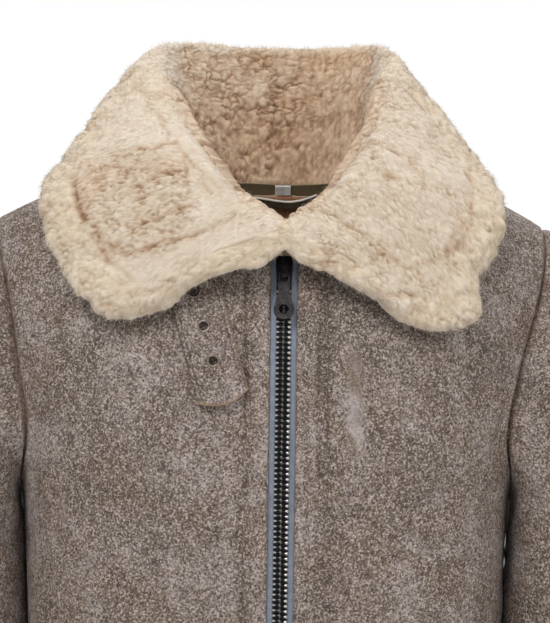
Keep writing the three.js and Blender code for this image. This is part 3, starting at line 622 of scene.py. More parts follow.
class Recipe(Tree):
    """A Geometry Nodes tree with named inputs."""

    KINDS = {float: "NodeSocketFloat", int: "NodeSocketInt", bpy.types.Material: "NodeSocketMaterial"}

    def __init__(self, name, **inputs):
        super().__init__(bpy.data.node_groups.new(name, "GeometryNodeTree"))
        face = self.tree.interface
        face.new_socket("Geometry", in_out="INPUT", socket_type="NodeSocketGeometry")
        self.keys = {}
        for label, value in inputs.items():
            kind = next(k for t, k in self.KINDS.items() if isinstance(value, t))
            self.keys[label] = (face.new_socket(label, in_out="INPUT", socket_type=kind).identifier, value)
        face.new_socket("Geometry", in_out="OUTPUT", socket_type="NodeSocketGeometry")
        self.input = self.node("NodeGroupInput")

    def finish(self, geometry):
        real = self.node("GeometryNodeRealizeInstances", None, {0: geometry})[0]
        values = {"Geometry": real, "Material": self.input["material"]}
        painted = self.node("GeometryNodeSetMaterial", None, values)[0]
        self.node("NodeGroupOutput", None, {0: painted})

    def grow(self, obj):
        """Runs the tree on an object and leaves a plain mesh there."""
        modifier = obj.modifiers.new("grow", "NODES")
        modifier.node_group = self.tree
        for identifier, value in self.keys.values():
            modifier[identifier] = value
        apply_modifiers(obj)


def apply_modifiers(obj):
    """Leaves a plain mesh with the modifiers' shape."""
    graph = bpy.context.evaluated_depsgraph_get()
    mesh = bpy.data.meshes.new_from_object(obj.evaluated_get(graph))
    obj.modifiers.clear()
    obj.data = mesh


# Finishes
def aged_leather():
    f = Finish("aged_leather")
    seam = f.attribute("seam")
    # Ridges down the front are lighter by wear and by painted highlight; troughs and the strap's edges and
    # groove are darker by painted shade.
    worn = f.attribute("worn")
    rim = f.attribute("rim")
    broad = f.noise(15, 3, 0.55, 0.6)
    patch = f.noise(40, 5, 0.65, 1.2)
    streak = f.noise(12, 4, 0.6, 0.5, f.stretched(3.0, 3.0, 1, 0.12))
    grain = f.noise(560, 3, 0.75, 0.6)
    fleck = f.cells(880, "Color")
    cracks = f.noise(230, 3, 0.7, 1.6)
    tone = broad * 0.35 + patch * 0.45 + streak * 0.35 + worn * 0.16
    stops = [
        (0.0, linear(84, 70, 60)),
        (0.3, linear(104, 90, 81)),
        (0.55, linear(124, 111, 104)),
        (0.8, linear(142, 130, 125)),
        (1.0, linear(162, 151, 147)),
    ]
    base = f.steps(tone.ramp(0.40, 0.80), stops)
    brown = f.noise(17, 4, 0.6, 1.2).ramp(0.47, 0.62)
    base = f.mix(brown * 0.75, base, linear(104, 85, 70))
    speck = grain * 0.55 + fleck * 0.2 + cracks * 0.25
    calm = 1 - worn.ramp(0.3, 1.0) * 0.65
    base = f.mix(speck.ramp(0.50, 0.40) * calm * 0.85, base, linear(50, 42, 37))
    base = f.mix(speck.ramp(0.50, 0.61) * calm * 0.75, base, linear(186, 174, 165))
    rub = seam.ramp(9.0, 2.0) * f.noise(140, 3, 0.6).ramp(0.35, 0.65)
    base = f.mix(rub * 0.45, base, linear(128, 102, 84))
    base = f.mix(seam.ramp(1.4, 0.3) * 0.3, base, linear(70, 57, 48))
    # Painted shade: darker in the troughs down the front and along the strap's edges and groove.
    base = f.mix(worn.ramp(-0.2, -0.9) * 0.5, base, linear(64, 52, 45))
    cut = rim * f.noise(260, 3, 0.6).ramp(0.2, 0.5)
    base = f.mix(cut, base, linear(160, 130, 100))
    relief = grain * 0.5 + fleck * 0.25 + cracks * 0.45
    broad_bump = f.bump(f.noise(95, 3, 0.55, 0.8), 1.6, 0.5)
    normal = f.bump(relief, 0.8, 0.9, broad_bump)
    rough = (speck * 0.6 + patch * 0.4).ramp(0.3, 0.7, 0.62, 0.8)
    values = {"Specular_IOR_Level": 0.3, "Sheen_Weight": 0.05}
    return f.surface(Base_Color=base, Roughness=rough, Normal=normal, **values)


def tan_edge():
    f = Finish("hide_edge")
    fibre = f.noise(700, 3, 0.6)
    base = f.steps(fibre, [(0.25, linear(126, 98, 74)), (0.75, linear(186, 158, 128))])
    return f.surface(Base_Color=base, Roughness=0.9, Normal=f.bump(fibre, 0.3, 0.7))


def fleece():
    f = Finish("fleece")
    # Painted shade in the dips between curls, in creases and along the fold line, and painted highlight on
    # swells and the top edge, stored a point.
    pile = f.attribute("pile")
    # The wool's own warm tint in patches, mixed with painted shade inside the collar and in its creases.
    tan = f.attribute("tan")
    yellow = f.attribute("band")
    fuzz = f.noise(1250, 3, 0.7, 1.5)
    fibre = f.noise(430, 4, 0.65, 2.5)
    height = pile + (fibre - 0.5) * 0.5 + (fuzz - 0.5) * 0.35
    # The cream and warm ramps run from painted shade in the hollows to painted highlight on the tips.
    cream = f.steps(
        height,
        [
            (0.0, linear(122, 90, 64)),
            (0.3, linear(156, 127, 98)),
            (0.55, linear(180, 160, 137)),
            (0.8, linear(194, 179, 160)),
            (1.0, linear(209, 196, 179)),
        ],
    )
    warm = f.steps(
        height,
        [
            (0.0, linear(104, 74, 53)),
            (0.3, linear(140, 108, 82)),
            (0.55, linear(166, 135, 107)),
            (0.8, linear(188, 160, 132)),
            (1.0, linear(202, 177, 149)),
        ],
    )
    base = f.mix(tan, cream, warm)
    base = f.mix(yellow * f.noise(30, 3, 0.6).ramp(0.35, 0.6) * 0.4, base, linear(208, 190, 162))
    normal = f.bump(fuzz, 0.4, 0.5, f.bump(fibre, 1.0, 0.6))
    values = {"Specular_IOR_Level": 0.08, "Sheen_Weight": 0.2, "Sheen_Roughness": 0.6}
    soft = {"Subsurface_Weight": 0.2, "Subsurface_Scale": 0.004, "Subsurface_Radius": (1.0, 0.7, 0.5)}
    return f.surface(Base_Color=base, Roughness=0.95, Normal=normal, **values, **soft)


def lining():
    f = Finish("fleece_lining")
    curl = f.cells(190)
    fibre = f.noise(700, 3, 0.7, 1.5)
    height = (1 - curl) * 0.7 + fibre * 0.3
    # Painted shade in the dips between the curls and painted highlight on their tops.
    stops = [(0.1, linear(150, 122, 96)), (0.5, linear(206, 184, 156)), (0.9, linear(232, 216, 194))]
    base = f.steps(height, stops)
    values = {"Specular_IOR_Level": 0.1, "Sheen_Weight": 0.3}
    return f.surface(Base_Color=base, Roughness=0.95, Normal=f.bump(height, 2.2, 0.9), **values)


def woven_tape():
    f = Finish("woven_tape")
    split = f.parted()
    weave = f.wave(split[2], 1.3) * f.wave(split[0], 1.1) * 0.5 + 0.5
    dust = f.noise(160, 3, 0.6)
    stops = [(0.15, linear(96, 104, 116)), (0.55, linear(124, 132, 145)), (0.9, linear(154, 160, 170))]
    base = f.steps(weave * 0.4 + dust * 0.6, stops)
    # Painted shade: the tape darkened where it shows between and behind the teeth.
    shade_behind_teeth = split[0].maths("ABSOLUTE", split[0]).ramp(6.0 * MM, 5.3 * MM)
    base = f.mix(shade_behind_teeth * 0.92, base, linear(22, 22, 25))
    normal = f.bump(weave, 0.25, 0.8)
    return f.surface(Base_Color=base, Roughness=0.88, Normal=normal, Specular_IOR_Level=0.2)


def metal(name, dark, bright, smoothest):
    f = Finish(name)
    wear = f.noise(300, 4, 0.65, 0.5)
    base = f.steps(wear, [(0.3, dark), (0.75, bright)])
    rough = wear.ramp(0.3, 0.7, smoothest, smoothest + 0.2)
    return f.surface(Base_Color=base, Metallic=1.0, Roughness=rough, Normal=f.bump(wear, 0.05, 0.4))


def tooth_metal():
    f = Finish("tooth_metal")
    from_middle = f.parted()[0]
    away = from_middle.maths("ABSOLUTE", from_middle)
    # Painted highlight on each tooth's outer bead and a little in the middle of the heads, painted shade on
    # the rest of the tooth.
    bead = away.ramp(3.0 * MM, 3.7 * MM).most(away.ramp(1.1 * MM, 0.5 * MM, 0.0, 0.3))
    wear = f.noise(420, 3, 0.6)
    base = f.mix(bead, linear(34, 33, 35), linear(186, 182, 178))
    base = f.mix(wear.ramp(0.5, 0.7) * 0.5, base, linear(112, 106, 102))
    return f.surface(Base_Color=base, Metallic=0.85, Roughness=wear.ramp(0.3, 0.7, 0.28, 0.45))


def patch_leather():
    f = Finish("patch_leather")
    grain = f.cells(520)
    tone = f.noise(60, 4, 0.6)
    stops = [(0.2, linear(116, 76, 52)), (0.6, linear(150, 104, 75)), (0.9, linear(172, 128, 96))]
    base = f.steps(tone * 0.6 + grain * 0.4, stops)
    return f.surface(Base_Color=base, Roughness=0.6, Normal=f.bump(grain, 0.3, 0.6))


def band_cloth(name, low, high):
    f = Finish(name)
    split = f.parted()
    ribs = f.wave(split[0] + split[2] * 0.5, 0.9) * 0.5 + 0.5
    mixed = ribs * 0.5 + f.noise(500, 3, 0.6) * 0.5
    base = f.steps(mixed, [(0.2, low), (0.8, high)])
    return f.surface(Base_Color=base, Roughness=0.8, Normal=f.bump(ribs, 0.2, 0.7))


LEATHER = aged_leather()
EDGE = tan_edge()
FLEECE = fleece()
LINING = lining()
TAPE = woven_tape()
TOOTH_METAL = tooth_metal()
DARK_METAL = metal("dark_metal", linear(34, 32, 34), linear(74, 70, 70), 0.36)
EYELET_METAL = metal("eyelet_metal", linear(84, 76, 70), linear(160, 150, 138), 0.3)
PATCH = patch_leather()
LOOP = band_cloth("loop_cord", linear(62, 54, 42), linear(104, 92, 72))
NECK_TAPE = band_cloth("neck_tape", linear(104, 90, 66), linear(150, 134, 102))
PIPING = band_cloth("white_piping", linear(190, 184, 172), linear(236, 232, 222))
LABEL = band_cloth("label_cloth", linear(246, 245, 243), linear(254, 254, 253))


def rides(obj, slot, *nodes, body="jacket"):
    """Puts a piece on its body and hides the nodes it stands for; the slot is not used."""
    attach(obj, body)
    if nodes:
        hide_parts(*nodes)
    return obj


# The panels and sleeves
def seam_distance(p, facing, above):
    """Distance of each point of a panel from the nearest seam."""
    side = arc(p, 1)
    middle = side[:, -1:] - side
    top = arc(p, 0)
    away = np.minimum(side, top[-1:] - top)
    away[above:] = np.minimum(away[above:], middle[above:])
    return away


# Bands that run down the front: where, how wide, how far they stand out, and their tone: positive for wear
# and painted highlight on the ridges, negative for painted shade in the troughs.
STREAKS = named(
    "x top low wide raised worn",
    [
        (13.5, -80, -650, 2.4, 0.5, 0.55),
        (20, -80, -650, 2.6, 0.3, -0.15),
        (27.2, -90, -650, 1.5, -1.1, -0.9),
        (23.5, -110, -330, 2.4, 0.4, 0.7),
        (34, -100, -420, 3.4, -0.9, -0.7),
        (43, -110, -300, 3.0, 0.4, 0.25),
        (55, -140, -275, 8.5, 0.9, 0.95),
        (-13.5, -80, -650, 2.4, 0.5, 0.5),
        (-20, -80, -650, 3.0, 0.3, 0.25),
        (-28.5, -90, -650, 1.6, -1.1, -0.8),
        (-34, -90, -650, 2.2, 0.5, 0.3),
    ],
)


def streaks(p):
    """How far the bands down the front raise the leather, and their tone: lighter on ridges by wear and
    painted highlight, darker in troughs by painted shade.
    """
    raised, worn = np.zeros(p.shape[:-1]), np.zeros(p.shape[:-1])
    sway = ripple(p * [0.2, 1, 1], 130, 1.7) * 2.0
    for x, top, low, wide, up, rub in zip(*STREAKS.values()):
        across = np.exp(-(((p[..., 0] + sway - x) / wide) ** 2))
        along = smooth((top - p[..., 2]) / 25) * smooth((p[..., 2] - low) / 60)
        raised += across * along * up
        worn += across * along * rub
    front = (p[..., 1] < 0) * smooth((70 - np.abs(p[..., 0])) / 10)
    return raised * front, np.clip(worn, -1, 1) * front


def leather_relief(p, seam):
    """How far the leather stands out from the plain surface, in millimetres."""
    soft = ripple(p * [1, 1, 0.55], 42, 3.1) * 0.9 + ripple(p * [1, 1, 0.6], 17, 8.3) * 0.35
    crease = 0.35 * np.abs(ripple(p * [1, 1, 1.6], 11, 5.7))
    welt = 0.9 * np.exp(-(((seam - 5.5) / 3.2) ** 2))
    groove = 1.7 * np.exp(-((seam / 1.9) ** 2))
    calm = smooth(seam / 14)
    low_left = smooth((-190 - p[..., 2]) / 90) * smooth((-p[..., 0] - 70) / 70)
    by_arm = smooth((p[..., 0] - 110) / 40) * smooth((-150 - p[..., 2]) / 40)
    sway = ripple(p, 36, 9.9)[..., None] * 7
    wrinkle = ripple(p * [1.0, 1.0, 0.34] + sway, 7.5, 4.2) * low_left
    wrinkle += ripple(p + sway, 9, 6.6) * 0.9 * by_arm
    return (soft - crease + wrinkle) * (0.35 + 0.65 * calm) + welt - groove + streaks(p)[0]


panels, normals, seams = {}, {}, {}
for facing in (-1, 1):
    above = panel_rows(facing)[2]
    for side in (-1, 1):
        key = (facing, side)
        panels[key] = panel(facing, side)
        # Columns run towards the middle and rows upwards, so the cross product's sign follows both.
        normals[key] = grid_normals(panels[key]) * (facing * side)
        seams[key] = seam_distance(panels[key], facing, above)

def sleeve_rings(side, turns, at):
    """Rings of a sleeve's outside, before its top is drawn to the armhole."""
    at = np.asarray(at, float)[:, None]
    columns = ("underX", "underZ", "overX", "overZ", "midY", "deep")
    under_x, under_z, over_x, over_z, mid_y, deep = (read(SLEEVE, "ring", at, c) for c in columns)
    along = np.cos(np.radians(turns))[None]
    x = (under_x + over_x) / 2 - along * (over_x - under_x) / 2
    z = (under_z + over_z) / 2 - along * (over_z - under_z) / 2
    y = mid_y - deep * np.sin(np.radians(turns))[None]
    return hung(side, np.stack([x, y + 0 * x, z], -1))


SLEEVE_RINGS = runs((0, 1, 14), (1, 4, 22), (4, 14, 104))
sleeves = {}
for side in (-1, 1):
    front_edge = panels[-1, side][LOW_ROWS:, 0]
    back_edge = panels[1, side][LOW_ROWS:, 0]
    armhole = np.concatenate([front_edge, back_edge[1:-1][::-1]])
    front_arc = arc(front_edge[None], 1)[0]
    back_arc = arc(back_edge[::-1][None], 1)[0]
    turns = np.concatenate([180 * front_arc / front_arc[-1], 180 + 180 * back_arc[1:-1] / back_arc[-1]])
    keep = (1 - smooth(SLEEVE_RINGS / CAP_RINGS))[:, None, None]
    p = sleeve_rings(side, turns, SLEEVE_RINGS)
    p += (armhole[None] - sleeve_rings(side, turns, [0.0])) * keep
    front_part = smooth(np.sin(np.radians(turns)) / 0.2)[None]
    p[..., 1] += fold_depth(p) * smooth(SLEEVE_RINGS / 2)[:, None] * front_part
    # The armhole's order runs up the front and down the back.
    n = grid_normals(p, True) * -side
    # Pieces that meet at the armhole share their direction there.
    front_count = len(front_edge)
    both_front = unit(normals[-1, side][LOW_ROWS:, 0] + n[0, :front_count])
    back_numbers = np.concatenate([[0], np.arange(len(armhole) - 1, front_count - 1, -1), [front_count - 1]])
    both_back = unit(normals[1, side][LOW_ROWS:, 0] + n[0, back_numbers])
    normals[-1, side][LOW_ROWS:, 0] = both_front
    normals[1, side][LOW_ROWS:, 0] = both_back
    n[0, :front_count] = both_front
    n[0, back_numbers[1:-1]] = both_back[1:-1]
    sleeves[side] = (p, n, arc(p, 0))


CLOTH = [LEATHER, LINING, EDGE]


def skins(p, n, seam):
    """The outer and inner skins of a wall of sheepskin: relief outside, curls inside."""
    outer = p + n * (leather_relief(p, seam) - 0.15)[..., None]
    wool = curls(p - n * WALL, 9.0, 2.0) * 2.2
    inner = p - n * (WALL + wool * smooth(seam / 8) - 0.5)[..., None]
    return outer, inner


def dressed(name, outer, inner, faces, seam, worn, nodes):
    obj = shell(name, outer.reshape(-1, 3), inner.reshape(-1, 3), faces, CLOTH)
    give(obj, "seam", np.tile(seam.ravel(), 2))
    give(obj, "worn", np.tile(worn.ravel(), 2))
    return rides(obj, "aged_leather", *nodes)


front_pieces = {}
for side, name in ((-1, "front_right"), (1, "front_left")):
    key = (-1, side)
    outer, inner = skins(panels[key], normals[key], seams[key])
    faces = quads(*panels[key].shape[:2], flip=side > 0)
    # Wear and painted highlight on the ridges, painted shade in the troughs.
    worn = streaks(panels[key])[1]
    front_pieces[side] = dressed(f"{name}_skin", outer, inner, faces, seams[key], worn, [name])

# The halves of the back share their middle column below the neck.
halves = [skins(panels[1, side], normals[1, side], seams[1, side]) for side in (-1, 1)]
back_rows, back_columns = panels[1, 1].shape[:2]
joined_rows = panel_rows(1)[2] + 1
back_faces = np.concatenate(
    [quads(back_rows, back_columns), quads(back_rows, back_columns, back_rows * back_columns, flip=True)]
)
middle = np.arange(joined_rows) * back_columns + back_columns - 1
renumber = np.arange(2 * back_rows * back_columns)
renumber[middle + back_rows * back_columns] = middle
back_outer = np.concatenate([halves[0][0].reshape(-1, 3), halves[1][0].reshape(-1, 3)])
back_inner = np.concatenate([halves[0][1].reshape(-1, 3), halves[1][1].reshape(-1, 3)])
back_seam = np.concatenate([seams[1, -1].ravel(), seams[1, 1].ravel()])
used, numbers = np.unique(renumber[back_faces], return_inverse=True)
back_piece = dressed(
    "back_skin",
    back_outer[used],
    back_inner[used],
    numbers.reshape(-1, 4)[:, ::-1],
    back_seam[used],
    0 * back_seam[used],
    ["back"],
)

sleeve_pieces = {}
for side, name in ((-1, "sleeve_right"), (1, "sleeve_left")):
    p, n, seam = sleeves[side]
    outer, inner = skins(p, n, seam)
    faces = quads(*p.shape[:2], around=True, flip=side > 0)
    sleeve_pieces[side] = dressed(f"{name}_skin", outer, inner, faces, seam, 0 * seam, [name])


# The collar
def hermite(a, slope_a, b, slope_b, t):
    return (
        a * (2 * t**3 - 3 * t**2 + 1)
        + slope_a * (t**3 - 2 * t**2 + t)
        + b * (3 * t**2 - 2 * t**3)
        + slope_b * (t**3 - t**2)
    )


rest_points, rest_normals = [], []
for facing in (-1, 1):
    p = panels[facing, 1][LOW_ROWS::2, ::2]
    plain = np.stack([plain_x(p[..., 0], 1), p[..., 1], p[..., 2]], -1)
    rest_points.append(plain.reshape(-1, 3))
    rest_normals.append(normals[facing, 1][LOW_ROWS::2, ::2].reshape(-1, 3))
rest_points, rest_normals = np.concatenate(rest_points), np.concatenate(rest_normals)
rest = kdtree.KDTree(len(rest_points))
for i, p in enumerate(rest_points.tolist()):
    rest.insert(p, i)
rest.balance()


def lifted(p, clear):
    """Lifts points clear of the shoulders and chest."""
    flat = p.reshape(-1, 3)
    clear = np.broadcast_to(clear, p.shape[:-1]).ravel()
    found = [rest.find(q) for q in flat.tolist()]
    index = np.array([f[1] for f in found])
    away = np.array([f[2] for f in found])
    out = rest_normals[index]
    height = dot(flat - rest_points[index], out)
    aside = np.sqrt(np.maximum(0, away**2 - height**2))
    need = clear * (1 - smooth((aside - 9) / 12))
    short = need - height
    push = np.where(short <= -4, 0, np.where(short >= 4, short, (short + 4) ** 2 / 16))
    return (flat + out * push[:, None]).reshape(p.shape)


LAST_STATION = BACK_STATIONS + FRONT_STATIONS + 1


def collar_lines(j):
    """The neckline, roll line and edge at signed stations, with the slopes that join them."""
    side = np.where(j < 0, -1, 1)
    turn, level, facing = neck_stations(np.abs(j))
    past = (np.abs(j) - BACK_STATIONS) / (FRONT_STATIONS + 1)
    at = np.where(past < 0, BACK_SHARE * np.abs(j) / BACK_STATIONS, BACK_SHARE + (1 - BACK_SHARE) * past)
    get = {c: read(COLLAR, "at", at, c) for c in COLLAR if c != "at"}
    base = trunk(turn, level, facing)
    roll = np.stack([get["rollX"] + side * get["rollLean"], get["rollY"], get["rollZ"]], -1)
    edge_x, edge_z = get["edgeX"] + side * get["leanX"], get["edgeZ"] + side * get["leanZ"]
    edge = np.stack([edge_x, get["edgeY"], edge_z], -1)
    away = unit(np.stack([roll[:, 0], roll[:, 1] - NECK_AXIS_Y, 0 * j], -1))
    over = np.stack([away[:, 0] * get["out"], away[:, 1] * get["out"], get["up"]], -1)
    rise = np.linalg.norm(roll - base, axis=-1, keepdims=True)
    start = (roll - base) * 0.8 + np.array([0, 0, 1]) * rise * 0.25
    drop = smooth((at - 0.25) / 0.2)
    finish = (edge - roll) * 0.8 + np.array([0, 0, -30]) * drop[:, None]
    return side, at, base, roll, edge, over, start, finish, drop, np.minimum(1, rise / 60), get["thick"]


coarse = np.linspace(-LAST_STATION, LAST_STATION, 400)
lines = collar_lines(coarse)
side, roll, edge = lines[0], lines[3], lines[4]
length = (arc(hung(side, roll)[None], 1)[0] + 1.6 * arc(hung(side, edge)[None], 1)[0]) / 2
stations = np.interp(np.linspace(0, length[-1], COLLAR_COLUMNS), length, coarse)
stations[0], stations[-1] = -LAST_STATION, LAST_STATION
side, at, base, roll, edge, over, start, finish, drop, turn_in, thick = collar_lines(stations)
reach = np.linalg.norm(edge - roll, axis=-1)
radius = COLLAR_HALF_THICK * thick
rows, stands, leaves = [], [], []
for t in np.linspace(0, 1, COLLAR_STAND_ROWS, endpoint=False):
    rows.append(hermite(base, start, roll, over * turn_in, t))
    stands.append(np.full(len(stations), t))
    leaves.append(np.zeros(len(stations)))
for u in np.linspace(0, 1, COLLAR_LEAF_ROWS):
    t = u * (1 - 0.9 * radius / reach)
    p = hermite(roll, over * (1 + drop * 0.5)[:, None], edge, finish, t[:, None])
    rows.append(lifted(p, COLLAR_LIFT * drop * smooth(t * 5)))
    stands.append(np.ones(len(stations)))
    leaves.append(t)
collar_mid = hung(side, np.array(rows))
stand, leaf = np.array(stands), np.array(leaves)
collar_n = unit(np.cross(np.gradient(collar_mid, axis=0), np.gradient(collar_mid, axis=1)))
foot_n = collar_n[0]
narrow = 1 - 0.4 * smooth((at - 0.955) / 0.02)
half = (WALL / 2 + (radius - WALL / 2) * smooth(stand / 0.7)) * narrow
settle = 1 - smooth(np.linalg.norm(collar_mid - collar_mid[0], axis=-1) / 25)
collar_mid = collar_mid - foot_n[None] * (WALL / 2 * settle)[..., None]
edge_way = unit(collar_mid[-1] - collar_mid[-4])

# Leather on the outside of the stand and under the leaf
leather_top = collar_mid + collar_n * (half - 0.1)[..., None]
leather_low = collar_mid + collar_n * (half - HIDE)[..., None]
every = slice(None, None, 3)
keep_rows = np.r_[0 : len(collar_mid) : 2, len(collar_mid) - 1]
outer = leather_top[keep_rows][:, every]
outer = outer + collar_n[keep_rows][:, every] * (ripple(outer, 30, 4.4) * 0.8)[..., None]
inner = leather_low[keep_rows][:, every]
collar_leather = wall("collar_hide", outer, inner, [LEATHER, EDGE, EDGE], flip=True)
give(collar_leather, "seam", np.tile(arc(outer, 0).ravel(), 2))
rides(collar_leather, "aged_leather", "collar")

# Creases in the wool of the leaves, seen from the front, with how much painted shade darkens each in the last
# column
LEAF_CREASES = named(
    "x1 z1 x2 z2 wide deep tan",
    [
        (-166, -30, -162, -49, 2.2, 1, 0.6),
        (-162, -49, -139, -78, 2.2, 1, 0.6),
        (-139, -78, -121, -88, 2.2, 1, 0.6),
        (-121, -88, -104, -82, 2, 1, 0.5),
        (-104, -82, -68, -71, 2, 0.9, 0.5),
        (-68, -71, -38, -57, 2, 0.7, 0.5),
        (-114, -6, -86, 1, 1.8, 1, 0.8),
        (-86, 0, -72, -15, 1.6, 0.6, 0.5),
        (-72, -15, -49, -38, 1.6, 0.6, 0.6),
        (-115, -36, -98, -29, 1.8, 0.8, 0.6),
        (-98, -29, -83, -22, 1.8, 0.8, 0.6),
        (-115, -65, -96, -61, 1.8, 0.8, 0.6),
        (-96, -61, -72, -49, 1.8, 0.8, 0.6),
        (-79, -10, -72, -46, 1.6, 0.6, 0.5),
        (-112, 34, -95, 19, 1.4, 0.5, 0.4),
        (-102, 24, -91, 4, 1.6, 0.6, 0.6),
        (-134, -11, -120, -12, 2.5, 0.4, 0.6),
        (-121, 50, -101, 41, 3.6, 0.35, 0.9),
        (-113, 42, -98, 45, 3.2, 0.3, 0.7),
        (-66, -25, -57, -40, 1.6, 0.6, 0.5),
        (76, -2, 87, -5, 1.8, 0.8, 0.5),
        (87, -5, 91, -9, 1.6, 0.6, 0.4),
        (78, -23, 87, -26, 2, 0.7, 0.7),
        (99, -9, 101, -17, 1.8, 0.6, 0.7),
        (105, -20, 107, -34, 1.6, 0.45, 0.4),
        (145, -7, 146, -29, 2, 0.8, 0.5),
        (146, -29, 144, -60, 1.8, 0.7, 0.35),
        (144, -60, 132, -78, 2, 0.8, 0.45),
        (74, -81, 80, -88, 1.8, 0.8, 0.5),
        (80, -88, 93, -94, 1.8, 0.7, 0.4),
        (28, -52, 52, -64, 1.8, 0.6, 0.4),
        (52, -64, 68, -78, 1.8, 0.6, 0.3),
        (62, 0, 79, 4, 1.6, 0.6, 0.4),
        (67, -11, 71, -5, 1.6, 0.5, 0.4),
        (93, -94, 120, -89, 2, 0.55, 0.25),
        (120, -89, 132, -78, 2, 0.7, 0.35),
    ],
)


def leaf_creases(p, broken):
    """How deep the creases are at each point, from 0 to 1, and how much painted shade darkens them."""
    deep, tan = np.zeros(p.shape[:-1]), np.zeros(p.shape[:-1])
    swayed = p[..., [0, 2]] + np.stack([ripple(p, 12, 1.3), ripple(p, 12, 6.3)], -1) * 2.6
    for x1, z1, x2, z2, wide, depth, colour in zip(*LEAF_CREASES.values()):
        start, span = np.array([x1, z1]), np.array([x2 - x1, z2 - z1])
        t = np.clip(((swayed - start) @ span) / (span @ span), 0, 1)
        away = np.linalg.norm(swayed - start - t[..., None] * span, axis=-1)
        deep = np.maximum(deep, depth * np.exp(-((away / wide) ** 2)) * broken)
        tan = np.maximum(tan, colour * 0.6 * np.exp(-((away / (wide * 1.8)) ** 2)) * broken)
    return deep, tan


# Wool over the other side and round the edge
top = collar_mid - collar_n * (half - 2.2)[..., None]
top_way = -collar_n
turn_over = []
turn_way = []
for angle in np.linspace(0, math.pi, EDGE_ROWS + 2)[1:-1]:
    way = top_way[-1] * math.cos(angle) + edge_way * math.sin(angle)
    turn_over.append(collar_mid[-1] + way * (half[-1] - 1.8)[:, None])
    turn_way.append(way)
wool_base = np.concatenate([top, np.array(turn_over)])
wool_way = np.concatenate([top_way, np.array(turn_way)])
from_edge = np.linalg.norm(collar_mid - collar_mid[-1][None], axis=-1)
from_edge = np.concatenate([from_edge, np.zeros((EDGE_ROWS, len(stations)))])
around_leaf = smooth((at - 0.3) / 0.12)[None] * np.ones_like(from_edge)
inside = np.concatenate([1 - smooth((leaf - 0.02) / 0.2), np.zeros((EDGE_ROWS, len(stations)))])
inside = np.maximum(inside, (1 - smooth((at - 0.2) / 0.1))[None])
band = around_leaf * (1 - smooth((from_edge - 20) / 8))
combed = inside * smooth((wool_base[..., 0] - 14) / 14)
curly = inside * (1 - combed)
plain_leaf = (1 - inside) * (1 - band)
fine = curls(wool_base, 4.6, 1.0, 0.6, 0.4)
small = curls(wool_base, 7.2, 3.0)
large = curls(wool_base, 13.0, 5.0, 0.7, 0.8)
swell = ripple(wool_base, 24, 2.2)
soft_spots = smooth((ripple(wool_base, 34, 8.8) + 0.25) / 0.6)
along_pile = ripple(wool_base * [1.0, 1.0, 0.22], 2.6, 12.1)
creases, crease_shade = leaf_creases(wool_base, 0.6 + 0.4 * ripple(wool_base, 9, 5.2))
creases, crease_shade = creases * around_leaf, crease_shade * around_leaf
patchy = smooth((ripple(wool_base, 22, 3.3) + 0.15) / 0.5)
fold_line = np.exp(-(((from_edge - 28 + 2 * ripple(wool_base, 18, 7.1)) / 2.4) ** 2)) * around_leaf * patchy
wool_height = swell * 1.2 - creases * 1.5 - 0.9 * fold_line + 1.6
left_curls = 1 - smooth(np.hypot((wool_base[..., 0] + 118) / 56, (wool_base[..., 2] + 44) / 48) * 2 - 1.2)
right_curls = 0.4 * smooth((wool_base[..., 0] - 10) / 30)
curled = np.clip(np.maximum(left_curls, right_curls) + 0.25 * soft_spots, 0, 1)
wool_height += plain_leaf * (0.8 + 1.5 * curled) * (1.1 * fine + 0.6 * (small - 0.5))
wool_height += curly * (0.5 * fine + 2.1 * small + 0.9 * large - 1.2)
wool_height += combed * (0.5 * fine + 0.7 * small + 0.5 * along_pile)
lumps = 1.3 * ripple(wool_base, 8.5, 4.9) + 0.8 * ripple(wool_base, 4.8, 7.9)
wool_height += band * (1.2 * fine + 1.6 * small + 1.8 * large - 1.8 + lumps)
foot_fade = smooth(arc(wool_base, 0) / 8)
wool_top = wool_base + wool_way * ((wool_height - 0.8) * (0.25 + 0.75 * foot_fade))[..., None]

under_rows = np.linspace(len(collar_mid) - 1, 0, UNDER_ROWS).astype(int)
under = (collar_mid + collar_n * (half - HIDE - 0.4)[..., None])[under_rows]
ring_grid = np.concatenate([wool_top, under])
ring_rows, ring_columns = ring_grid.shape[:2]
points = ring_grid.reshape(-1, 3)
faces = quads(ring_rows, ring_columns).tolist()
number = np.arange(ring_rows * ring_columns).reshape(ring_rows, ring_columns)
faces += strip(number[-1], number[0]).tolist()
# The wool of the two ends meets in the middle of the front.
ends = np.append(number[:, -1], number[0, -1])
starts = np.append(number[:, 0], number[0, 0])
faces += strip(starts, ends).tolist()
collar_wool = make("collar_fleece", points, faces, None, [FLEECE])
rim_light = smooth((wool_base[..., 2] - 80) / 9) * (1 - smooth((at - 0.3) / 0.1))[None]
past_roll = np.concatenate([smooth((leaf + 0.01) / 0.03), np.ones((EDGE_ROWS, len(stations)))])
warm_noise = smooth((ripple(wool_base, 55, 6.5) + 0.12) / 0.5)
# The wool's own warm tint on curled patches and where combed, and painted shade inside the collar, lower down
# inside, in the creases and along the fold line; the painted rim light keeps the top edge pale.
tan = 0.5 * curled * warm_noise * plain_leaf * smooth(-wool_base[..., 0] / 60)
tan += inside * (0.5 + 0.5 * warm_noise) * (1 - 0.75 * around_leaf * past_roll)
low_inside_shade = inside * smooth((72 - wool_base[..., 2]) / 50)
tan = tan + 0.3 * low_inside_shade + 0.25 * combed + crease_shade + 0.2 * fold_line
tan = np.clip(tan - 0.7 * rim_light, 0, 1)
blank = np.zeros((len(under_rows), ring_columns))
